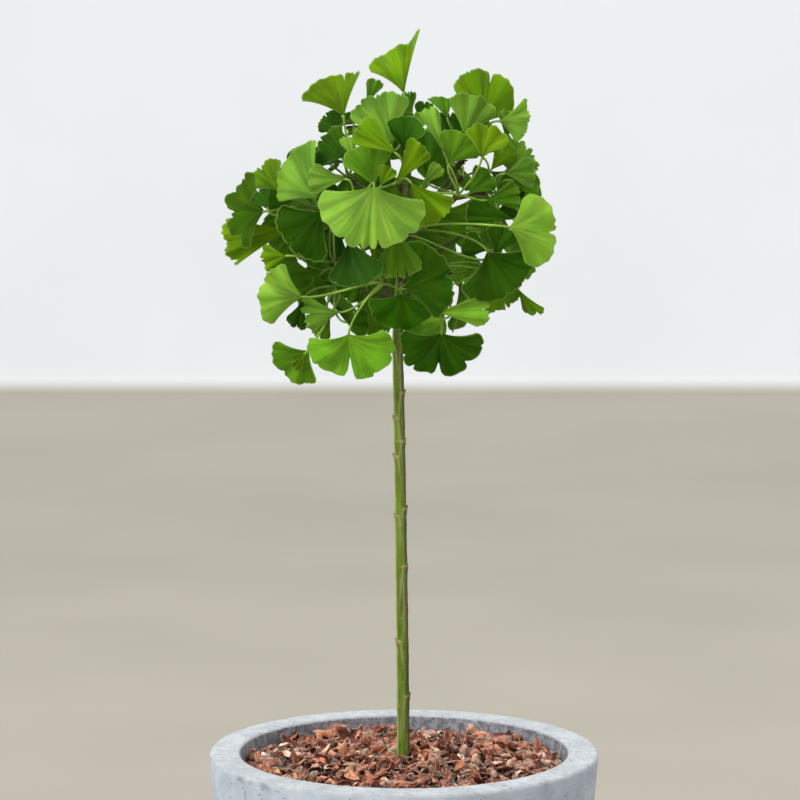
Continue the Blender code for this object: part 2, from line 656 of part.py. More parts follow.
def leaf_solid(blade, path, thickness, radius):
    """One closed leaf: a three-sided stalk along the path that opens into the blade.

    The blade has one net of triangles on both faces, with a narrow wall round the rim. Without a path
    only the blade is made.
    """
    columns = next(count for least, count in RIM_COLUMNS if blade.length > least)
    rim_u = np.linspace(-1, 1, columns + 1)
    mid_u = rim_u[::2]
    count = len(mid_u) + len(rim_u)
    u = np.concatenate([mid_u, rim_u])
    v = np.concatenate([np.full(len(mid_u), MIDDLE_RING), np.ones(len(rim_u))])
    side = np.cross(blade.along, blade.face)
    ring = [
        blade.base + blade.face * radius,
        blade.base - blade.face * radius / 2 - side * radius * 0.87,
        blade.base - blade.face * radius / 2 + side * radius * 0.87,
    ]
    upper = blade_surface(blade, u, v, thickness / 2)
    lower = blade_surface(blade, u, v, -thickness / 2)
    points = [*upper, *lower, *ring]
    top, left, right = 2 * count, 2 * count + 1, 2 * count + 2
    last = len(mid_u) - 1
    half = last // 2
    faces = []
    for j in range(last):
        p = len(mid_u) + 2 * j
        net = [(j, p + 1, p), (j, j + 1, p + 1), (j + 1, p + 2, p + 1)]
        faces += [(top, j + 1, j), *net]
        faces += [tuple(count + i for i in reversed(face)) for face in net]
        faces.append((left if j < half else right, count + j, count + j + 1))
    faces.append((left, count + half, right))
    border = [0, *range(len(mid_u), count), last]
    for a, b in zip(border, border[1:]):
        faces += [(a, count + b, count + a), (a, b, count + b)]
    faces += [(top, count, left), (top, 0, count)]
    faces += [(right, last, top), (right, count + last, last)]
    if path is None:
        return np.array(points), faces + [(top, left, right)]
    lines = [unit(line) for line in np.gradient(path, axis=0)]
    offsets, line = np.array(ring) - blade.base, blade.along
    for centre, next_line in zip(path[-2::-1], lines[-2::-1]):
        offsets, line = carried(offsets, line, next_line), next_line
        start = len(points)
        points += list(centre + offsets)
        for k in range(3):
            m = (k + 1) % 3
            near, far = start - 3 + k, start - 3 + m
            faces += [(near, far, start + m), (near, start + m, start + k)]
    faces.append((len(points) - 3, len(points) - 2, len(points) - 1))
    return np.array(points), faces


def round_depth(across, up):
    """How far the rounded head comes towards the viewer at a place, in mm."""
    share = (across ** 2 + up ** 2) / CROWN_HALF_MM ** 2
    return CROWN_DEPTH_MM * math.sqrt(max(1 - share, 0.05))


def round_outward(across, up):
    """Square to the rounded head at a place."""
    depth = round_depth(across, up)
    return unit(np.array((across, -depth * (CROWN_HALF_MM / CROWN_DEPTH_MM) ** 2, up)))


def true_angle(seen, squeeze_across, squeeze_along):
    """The fan's own angle in degrees that is seen as the given one once the blade is turned away."""
    seen = math.radians(seen)
    return math.degrees(math.atan2(math.sin(seen) / squeeze_across, math.cos(seen) / squeeze_along))


def front_blade(entry, depth_step, lean_step, seed):
    """The blade of a listed leaf, slid along the line of sight and tipped by the given steps in mm.

    The blade leans and turns part of the way with the roundness of the head, and its spread grows so
    that it is still seen as listed.
    """
    depth = entry.depth + depth_step
    wrap = CROWN_WRAP * (round_depth(*entry.tip) - round_depth(*entry.base))
    base = crown_place(*entry.base, depth)
    tip = crown_place(*entry.tip, depth + wrap + entry.lean + lean_step)
    length = np.linalg.norm(tip - base)
    along = (tip - base) / length
    sight = unit(VIEWPOINT - base)
    seen_face = unit(sight - along * sight.dot(along))
    middle = (np.array(entry.base) + np.array(entry.tip)) / 2
    wish = sight * (1 - CROWN_TURN) + round_outward(*middle) * CROWN_TURN
    face = unit(wish - along * wish.dot(along))
    squeeze = face.dot(seen_face), math.sqrt(1 - along.dot(sight) ** 2)
    spread = tuple(true_angle(seen, *squeeze) for seen in entry.spread)
    roll = math.radians(entry.roll)
    face = face * math.cos(roll) + np.cross(along, face) * math.sin(roll)
    return Blade(base, along, face, length, spread, squeeze[0] / squeeze[1], entry.form, seed)


def back_blade(root, outward, turn, draw, seed):
    """A hidden leaf: it stands out from its spur, faces out and up, and hangs a little."""
    first, second = across_pair(outward)
    fan = math.cos(turn) * first + math.sin(turn) * second
    reach = unit(outward * draw.uniform(0.5, 1.3) + fan)
    base = root + reach * draw.uniform(*HIDDEN_STALK)
    wander = np.array([draw.uniform(-0.4, 0.4) for _ in range(3)])
    face = unit(outward + np.array((0, 0, 0.5)) + wander)
    along = reach + np.array((0, 0, -0.45)) + wander * 0.6
    along = unit(along - face * along.dot(face))
    length = draw.uniform(*HIDDEN_LENGTH)
    half = draw.uniform(*HIDDEN_SPREAD)
    cup, notch, lobes, sag = (draw.uniform(*limits) for limits in HIDDEN_FORM)
    return Blade(base, along, face, length, (half, half), 1.0, Form(cup, notch, lobes, sag), seed)


def petiole_path(root, direction, blade, bow):
    """The leaf stalk leaves the spur along its direction and runs into the blade along its middle."""
    reach = np.linalg.norm(blade.base - root)
    outward = unit(blade.base - root)
    first, second = across_pair(outward)
    side = bow[0] * first + bow[1] * second
    leaving = root + direction * 0.3 * reach + side
    arriving = blade.base - blade.along * 0.28 * reach + side * 0.35
    turns_back = outward.dot(blade.along) < 0.3
    return bezier(root, leaving, arriving, blade.base, 6 if turns_back else 4)


class Shape:
    """A mesh to test others against, with its box."""

    def __init__(self, points, faces):
        points = np.asarray(points)
        self.low = points.min(axis=0)
        self.high = points.max(axis=0)
        self.tree = BVHTree.FromPolygons([tuple(p) for p in points], [tuple(f) for f in faces])

    def meets(self, other):
        apart = (self.low > other.high).any() or (other.low > self.high).any()
        return not apart and bool(self.tree.overlap(other.tree))


def meets_any(shape, others):
    return any(shape.meets(other) for other in others)


def front_steps():
    """Depth and lean steps in mm, the smallest first."""
    depths = (0, 3, -3, 6, -6, 10, -10, 14, -14, 19, -19, 25, -25, 32, -32)
    leans = (0, 7, -7, 14, -14, 22, -22)
    steps = [(d, t) for d in depths for t in leans]
    return sorted(steps, key=lambda step: abs(step[0]) + 0.8 * abs(step[1]))


BOWS = [(0.0, 0.0)] + [
    (size * math.cos(math.radians(a)), size * math.sin(math.radians(a)))
    for size in (0.006, 0.012, 0.020)
    for a in range(0, 360, 45)
]


def seen_flat(points):
    """Across and up in mm of points as the viewer sees them."""
    away = abs(VIEWPOINT[1]) / (points[:, 1] - VIEWPOINT[1])
    across = (VIEWPOINT[0] + (points[:, 0] - VIEWPOINT[0]) * away) / MM
    up = (VIEWPOINT[2] + (points[:, 2] - VIEWPOINT[2]) * away - CROWN_HEIGHT) / MM
    return np.stack([across, up], axis=1)


def blade_outline(blade):
    u = np.linspace(-1, 1, 11)
    return np.concatenate([[blade.base], blade_surface(blade, u, np.ones(11))])


def may_hide(outline):
    """Whether a hidden leaf stays behind the leaves of the front and out of its gaps."""
    across, up = seen_flat(outline).T
    within = (across / BACK_HALF_WIDTH_MM) ** 2 + (up / BACK_HALF_HEIGHT_MM) ** 2 < 1
    clear = [np.hypot(across - a, up - b) > radius for a, b, radius in CLEAR_GAPS_MM]
    near = np.linalg.norm(outline - np.array((0.0, 0.0, CROWN_HEIGHT)), axis=1) < CROWN_REACH_MM * MM
    behind = outline[:, 1] > -BACK_FRONT_MM * MM
    return bool(within.all() and np.all(clear) and near.all() and behind.all())


class Cover:
    """A board of points over the crown that remembers which of them lie behind a leaf."""

    def __init__(self, flatten, gaps=()):
        across, up = np.meshgrid(
            np.arange(-BACK_HALF_WIDTH_MM, BACK_HALF_WIDTH_MM + 1, COVER_STEP_MM),
            np.arange(-BACK_HALF_HEIGHT_MM, BACK_HALF_HEIGHT_MM + 1, COVER_STEP_MM),
        )
        within = (across / BACK_HALF_WIDTH_MM) ** 2 + (up / BACK_HALF_HEIGHT_MM) ** 2 < 1
        for a, b, radius in gaps:
            within &= np.hypot(across - a, up - b) > radius
        self.board = np.stack([across[within], up[within]], axis=1)
        self.covered = np.zeros(len(self.board), bool)
        self.flatten = flatten

    def under(self, outline):
        """Which points lie inside the outline, by counting its edges to the right of each."""
        corners = self.flatten(outline)
        inside = np.zeros(len(self.board), bool)
        x, y = self.board.T
        for (x0, y0), (x1, y1) in zip(corners, np.roll(corners, -1, axis=0)):
            crosses = (y0 > y) != (y1 > y)
            rise = y1 - y0 if y1 != y0 else 1.0
            inside ^= crosses & (x < x0 + (x1 - x0) * (y - y0) / rise)
        return inside

    def gain(self, outline):
        return int((self.under(outline) & ~self.covered).sum())

    def add(self, outline):
        self.covered |= self.under(outline)


def side_flat(points):
    return np.stack([-points[:, 1] / MM, (points[:, 2] - CROWN_HEIGHT) / MM], axis=1)


def settle(candidates, root, direction, spur_shape, placed, own_stalks):
    """The first candidate blade that clears everything placed, with a stalk that clears it too."""
    for blade in candidates:
        thick = LEAF_THICKNESS + 2 * LEAF_CLEARANCE
        shape = Shape(*leaf_solid(blade, None, thick, PETIOLE_RADIUS))
        if meets_any(shape, placed) or meets_any(shape, own_stalks) or shape.meets(spur_shape):
            continue
        for bow in BOWS:
            path = petiole_path(root, direction, blade, bow)
            widths = np.full(len(path), PETIOLE_RADIUS + LEAF_CLEARANCE)
            stalk = Shape(*tube(path, widths, 4))
            if not meets_any(stalk, placed):
                return blade, path, shape, stalk
    return None


class Crown:
    """Every leaf placed in turn, each bent clear of what stands already."""

    def __init__(self):
        stem_path = [stem_axis(h) for h in np.linspace(CROWN_HEIGHT - 0.125, STEM_TOP_HEIGHT, 8)]
        self.wood = [Shape(*upright_tube(stem_path, [stem_radius(p[2]) + GAP for p in stem_path]))]
        self.spurs, self.spur_shapes = {}, {}
        for name, (spur, start, *_) in WHORLS.items():
            path = branch_path(spur, start)
            end, direction = spur_line(spur, start)
            line = [*path[:-1], end - direction * BRANCH_RADIUS]
            radii = branch_radii(start, len(path)) + 2 * GAP
            self.wood.append(Shape(*tube(line, radii, 6)))
            self.spurs[name] = (end + direction * GAP, direction)
            line = [end + direction * GAP, end + direction * SPUR_LENGTH]
            self.spur_shapes[name] = Shape(*tube(line, (SPUR_RADIUS, SPUR_RADIUS), 6))
        self.blades = {name: [] for name in WHORLS}
        self.stalks = {name: [] for name in WHORLS}
        self.leaves = {name: [] for name in WHORLS}
        self.front = Cover(seen_flat, CLEAR_GAPS_MM)
        self.side = Cover(side_flat)

    def place(self, name, tone, candidates):
        end, direction = self.spurs[name]
        root = end + direction * SPUR_LENGTH * 0.72
        placed = self.wood + [b for one in self.blades.values() for b in one]
        for other in WHORLS:
            if other != name:
                placed += [self.spur_shapes[other], *self.stalks[other]]
        found = settle(candidates, root, direction, self.spur_shapes[name], placed, self.stalks[name])
        if found is None:
            return False
        blade, path, shape, stalk = found
        self.blades[name].append(shape)
        self.stalks[name].append(stalk)
        self.leaves[name].append((tone, blade, path))
        for cover in (self.front, self.side):
            cover.add(blade_outline(blade))
        return True

    def score(self, blade):
        """How much of the crown's open view a leaf would fill, from the front and from the side."""
        outline = blade_outline(blade)
        return self.front.gain(outline) + 0.6 * self.side.gain(outline)

    def grow(self):
        names = list(WHORLS)
        missed = []
        order = [(-e.depth, name, i) for name in FRONT_WHORLS for i, e in enumerate(WHORLS[name][2])]
        for _, name, i in sorted(order):
            entry = WHORLS[name][2][i]
            seed = 100 * names.index(name) + i
            trials = (front_blade(entry, *step, seed) for step in front_steps())
            if not self.place(name, entry.tone, trials):
                missed.append((name, i))
        hidden = {name: whorl[2] for name, whorl in BACK_WHORLS.items()} | SIDE_LEAVES
        for i in range(max(hidden.values())):
            for name, count in hidden.items():
                if i < count and not self.place(name, "mid", self.hidden_leaves(name, i, count)):
                    missed.append((name, i))
        print("leaves", sum(len(found) for found in self.leaves.values()), "missed", missed)
        print("front left open", int((~self.front.covered).sum()), "of", len(self.front.board))
        return self

    def hidden_leaves(self, name, i, count):
        """Draws for one leaf of a hidden whorl, the one that fills most of the open view first."""
        number = 20 * list(WHORLS).index(name) + i
        draw = random.Random(number)
        end, direction = self.spurs[name]
        outward = unit(end - np.array((0.0, 0.0, CROWN_HEIGHT - 0.02)))
        root = end + direction * SPUR_LENGTH
        trials = []
        for _ in range(BACK_TRIALS):
            turn = 2 * math.pi * (i + draw.uniform(-0.5, 0.5)) / count
            blade = back_blade(root, outward, turn, draw, 500 + number)
            if may_hide(blade_outline(blade)):
                trials.append(blade)
        return sorted(trials, key=self.score, reverse=True)


def make_whorl(name, end, direction, leaves):
    """One spur with its leaves and stalks, fused to one piece."""
    colour = np.mean([LEAF_TONES[tone] for tone, _, _ in leaves], axis=0)
    made = finish("leaves " + name, tuple(colour), 0.5)
    line = [end, end + direction * SPUR_LENGTH * 0.55, end + direction * SPUR_LENGTH]
    points, faces = tube(line, (SPUR_RADIUS * 0.85, SPUR_RADIUS, SPUR_RADIUS * 0.7), 6)
    spur = solid("leaf_spray_" + name, points, faces, made)
    parts = []
    for i, (_, blade, path) in enumerate(leaves):
        parts.append(solid(f"leaf_{i}", *leaf_solid(blade, path, LEAF_THICKNESS, PETIOLE_RADIUS)))
    fuse(spur, parts)


def main():
    clear_scene()
    make_pot()
    make_soil()
    make_mulch()
    make_trunk()
    crown = Crown().grow()
    for name, leaves in crown.leaves.items():
        make_whorl(name, *crown.spurs[name], leaves)


main()
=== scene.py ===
"""The finish of a small ginkgo standard: its leaves, stem, cocoa shells and concrete pot.

Lengths are metres unless a name ends in _MM. +Z is up and the viewer of the front stands on the -Y side.
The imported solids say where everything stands. Each finer piece made here keeps to the solid it stands for.
"""

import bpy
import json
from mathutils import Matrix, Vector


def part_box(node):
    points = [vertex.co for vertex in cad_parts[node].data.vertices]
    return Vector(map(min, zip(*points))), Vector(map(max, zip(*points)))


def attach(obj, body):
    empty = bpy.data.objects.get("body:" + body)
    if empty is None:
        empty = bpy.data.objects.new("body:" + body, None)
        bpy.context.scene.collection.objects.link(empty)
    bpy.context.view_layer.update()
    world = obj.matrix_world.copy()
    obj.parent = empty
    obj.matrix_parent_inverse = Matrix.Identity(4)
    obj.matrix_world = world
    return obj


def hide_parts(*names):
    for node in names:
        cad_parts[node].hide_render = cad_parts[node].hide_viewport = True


bl_info = {
    "name": "Ginkgo Standard in a Concrete Pot",
    "version": (1, 0, 0),
    "blender": (4, 5, 0),
    "location": "3D View > Sidebar > Ginkgo",
    "description": "Makes the leaves, stem, cocoa shells and pot of a small ginkgo, and a studio round it",
    "category": "Add Mesh",
}

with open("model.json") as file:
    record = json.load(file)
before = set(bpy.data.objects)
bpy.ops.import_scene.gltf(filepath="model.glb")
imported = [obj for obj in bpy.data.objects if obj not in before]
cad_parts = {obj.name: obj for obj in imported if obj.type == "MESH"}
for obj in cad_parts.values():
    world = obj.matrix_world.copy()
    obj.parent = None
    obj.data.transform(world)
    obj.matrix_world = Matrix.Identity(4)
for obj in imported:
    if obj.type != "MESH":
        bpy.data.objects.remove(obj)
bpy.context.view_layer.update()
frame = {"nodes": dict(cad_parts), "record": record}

import json
import math
import random
from collections import namedtuple

import bpy
import numpy as np
from bpy.props import FloatProperty, FloatVectorProperty, IntProperty, PointerProperty
from mathutils.kdtree import KDTree

MM = 0.001
GAP = 0.3 * MM

# Pot
POT_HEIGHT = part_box("pot")[1].z
POT_RIM_RADIUS = 0.1785
POT_FOOT_RADIUS = 0.1550
POT_WALL = 0.028
POT_FLOOR = 0.028
POT_EDGE_ROUND = 0.0035
POT_FOOT_ROUND = 0.004
DRAIN_RADIUS = 0.010
POT_COLUMNS = 300
POT_ROW = 0.004
POT_FLAT_ROW = 0.02

# The dents of its wall, as waves round it and radians a metre up it. The chips of its rim: the waves
# round it whose product they are, with their phases, their depth and how far down they reach.
DENT_WAVES = ((3, 60), (7, -90), (13, 150))
CHIP_WAVES = ((37, 2), (23, 0), (61, 1))
CHIP_DEPTH = 0.5 * MM
CHIP_REACH = 2.5 * MM

# The crack of its wall: how far left of the middle it runs, and the heights between which it fades
# in at its top and out at its foot.
CRACK_LEFT = 0.1375
CRACK_TOP = (0.290, 0.284)
CRACK_FOOT = (0.175, 0.235)

# Shells: the bed that they lie on, and how they are strewn over it
MULCH_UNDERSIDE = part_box("cocoa_shell_mulch")[0].z
MULCH_EDGE_HEIGHT = 0.283
MULCH_DOME = 0.009
SHELL_SEED = 5
SHELL_SEGMENTS = 10
SHELL_HALF_THICKNESS = 0.35 * MM
SHELL_STRAY = 0.003
SHELL_RISE_MM = 8.5
SHELL_SINK_MM = 4.0
SHELL_TILT = 0.55

# Limits of a shell's length, width and depth against its kind's, the shares of shells that lie with their
# hollow down and up, how far a bean swells, and the painted shade of lower shells: darkest share, what the
# level adds, by what power.
SHELL_LENGTHS = (0.55, 1.30)
SHELL_WIDTHS = (0.75, 1.2)
SHELL_DEPTHS = (0.7, 1.5)
SHELL_FACINGS = (0.6, 0.4)
BEAN_SWELL = 1.6
SHELL_PAINTED_SHADE = (0.03, 1.25, 1.35)

BED_ROWS = 44
BED_COLUMNS = 90
BED_CRUMB = 1.2 * MM
# Painted shade: the bed is near black to stand for the shade between the shells.
BED_SHADE_TONE = (0.045, 0.018, 0.011)

# Stem. Its middle line is given as (across, height), and a knot by its height.
STEM_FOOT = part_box("trunk")[0].z
STEM_SEAT_RADIUS = 0.0063
STEM_NECK_RADIUS = 0.0051
STEM_TOP_RADIUS = 0.0029
STEM_TOP_HEIGHT = 0.773
STEM_LINE_MM = (
    (-0.4, 172), (-0.4, 290), (-1.4, 400), (-2.8, 500), (-4.4, 610),
    (-5.9, 677), (-4, 725), (1, 765), (5, 778),
)
STEM_SMOOTHING_MM = (-16, -8, 0, 8, 16)
STEM_KNOTS_MM = (350, 401, 470, 516, 523, 571, 585, 606, 629, 668)
STEM_KNOT_SWELL = 0.143
STEM_ROWS = 520
STEM_SIDES = 32

# What a knot carries: how far each reaches above and below it, its width as an angle, its share of the
# way round to the front, and how many radians a metre it drifts.
KNOT_SWELLING = (2.2 * MM, 4.5 * MM, 1.3)
KNOT_SCAR = (1.2 * MM, 1.2 * MM, 0.95, 0.35)
KNOT_RIDGE = (0.5 * MM, 26 * MM, 0.20, 0.75, 22)

BUD_LENGTH = 0.0055
BUD_RADII_MM = np.array((1.3, 1.5, 1.3, 1.0, 0.6, 0.2))
BRANCH_RADIUS = 3.3 * MM
TWIG_RADIUS = 2.2 * MM
BRANCH_STEPS = 22

# Crown: places in it are (across, up) millimetres as the viewer sees them from the front, counted
# from the middle of the crown, and a depth in millimetres towards the viewer.
CROWN_HEIGHT = 0.785
VIEWPOINT = np.array((-0.0036, -2.8799, 0.9489))
VIEW_DOWN = math.radians(6.47)
VIEW_LENS = 144
CROWN_MIDDLE = np.array((0.0, 0.0, CROWN_HEIGHT - 0.02))
CROWN_HALF_MM = 168
CROWN_DEPTH_MM = 120
CROWN_WRAP = 0.6
CROWN_TURN = 0.55
BACK_TRIALS = 160

PACKED_THICKNESS = 0.8 * MM
PACKED_STALK_RADIUS = 1.1 * MM
FIT_TOLERANCE = 0.06 * MM
SPUR_RADIUS = 2.9 * MM
SPUR_LENGTH = 9 * MM
STALK_ROOT = 0.72
BASE_NARROWING = 0.24
NOTCH_WIDTH = 0.035
FOLD_SOFTNESS = 0.10
HIDDEN_STALK = (0.026, 0.050)
HIDDEN_LENGTH = (0.037, 0.050)
HIDDEN_SPREAD = (52, 76)
HIDDEN_FORM = ((5, 28), (0.05, 0.28), (0.02, 0.08), (0.0, 0.2))
PHASE = (0, 6.28)

# Columns of a blade, and the closer ones on each side of a cut, over u. Limits of a cut's place over u,
# its share of the blade's length and its width. The pleats: their height and the limits of their rate.
LEAF_COLUMNS = 53
LEAF_ROWS = 13
CUT_COLUMNS = np.array((0.006, 0.015, 0.026, 0.040))
CUT_LIMITS = ((-0.85, 0.85), (0.015, 0.06), (0.018, 0.034))
PLEATS = ((0.0048, (11, 17)), (0.0020, (27, 37)))

# A stalk's radii in mm by the share of its way, and those of its ridge on the blade by v. A spur's scales.
STALK_STEPS = 18
STALK_RADII_MM = ((0, 1.5), (0.12, 1.12), (0.9, 0.98), (1, 1.05))
RIDGE_RADII_MM = ((0.03, 0.90), (0.07, 0.70), (0.12, 0.45), (0.18, 0.15))
SPUR_SCALES = 9
SCALE_RADII_MM = np.array((0.8, 1.05, 1.0, 0.7, 0.4, 0.12))

# Colours of the leaves' seen face, as the photograph's light shows them.
# Painted light and shade: bright and light leaves are painted lit, dark ones painted shaded, grey ones with a
# painted sheen.
LEAF_LIT_TONES = {
    "bright": (0.178, 0.336, 0.0046),
    "light": (0.275, 0.485, 0.053),
    "mid": (0.130, 0.300, 0.0125),
    "grey": (0.204, 0.395, 0.041),
    "dark": (0.045, 0.145, 0.004),
}
STALK_TONE = (0.21, 0.34, 0.060)

# Cuts in the rims of single leaves, by leaf number: place across, share of the blade's length, width.
# A leaf's number is 100 for each whorl listed before its own, and 1 for each leaf before it there.
RIM_CUTS = {
    100: ((0.04, 0.16, 0.022),),
    201: ((-0.58, 0.15, 0.055), (-0.12, 0.12, 0.05), (0.36, 0.17, 0.06), (0.72, 0.10, 0.04)),
    400: ((-0.12, 0.15, 0.022), (0.30, 0.05, 0.022), (-0.52, 0.05, 0.03)),
    600: ((0.02, 0.20, 0.022), (-0.42, 0.06, 0.03)),
    801: ((-0.40, 0.12, 0.05), (0.30, 0.10, 0.05)),
    900: ((-0.32, 0.20, 0.03), (0.30, 0.05, 0.03)),
    1001: ((-0.42, 0.12, 0.022), (0.36, 0.10, 0.022), (0.58, 0.08, 0.022), (-0.75, 0.05, 0.03)),
    1103: ((-0.55, 0.05, 0.03), (0.5, 0.05, 0.03)),
    1104: ((-0.45, 0.12, 0.05), (0.45, 0.10, 0.04)),
}

# How many times paler than its tone a single leaf is, by leaf number: one share, or one for each of red,
# green and blue. Mostly painted light and shade, making each leaf as lit or as shaded as it looks; a few also
# turn its hue.
LEAF_PAINTED_LIGHT = {
    100: (0.84, 0.86, 0.4), 201: (0.46, 0.51, 0.2), 300: (0.62, 0.70, 0.4), 400: (1.36, 1.28, 1.4),
    402: 0.90, 600: (0.76, 0.81, 0.4), 601: (0.80, 0.80, 0.6), 901: 1.28, 902: 1.25, 1000: 1.30,
    1001: 1.15, 1002: 1.60, 1003: 1.60, 1100: (0.28, 0.44, 0.36), 1103: (2.15, 1.95, 3.0),
    1105: (1.35, 1.40, 1.0), 1200: 1.20,
}

Leaf = namedtuple("Leaf", "base tip depth spread tone lean roll form")
Blade = namedtuple("Blade", "base along face length spread squash form seed")

# The form of a fan: how far it cups, the depth of its middle notch and of its lobes, its sag, how much
# longer its right side is, how far its corners and its whole rim round off, and a fold (place, rise).
Form = namedtuple(
    "Form", "cup notch lobes sag skew corner dome fold",
    defaults=(12, 0.12, 0.03, 0.10, 0.0, 0.16, 0.0, (1.0, 0.0)),
)


def leaf(base, tip, depth, spread, tone, lean=0, roll=0, **form):
    """One leaf of the front: base and rim middle in mm, the fan's degrees left and right of its middle."""
    return Leaf(base, tip, depth, spread, tone, lean, roll, Form(**form))


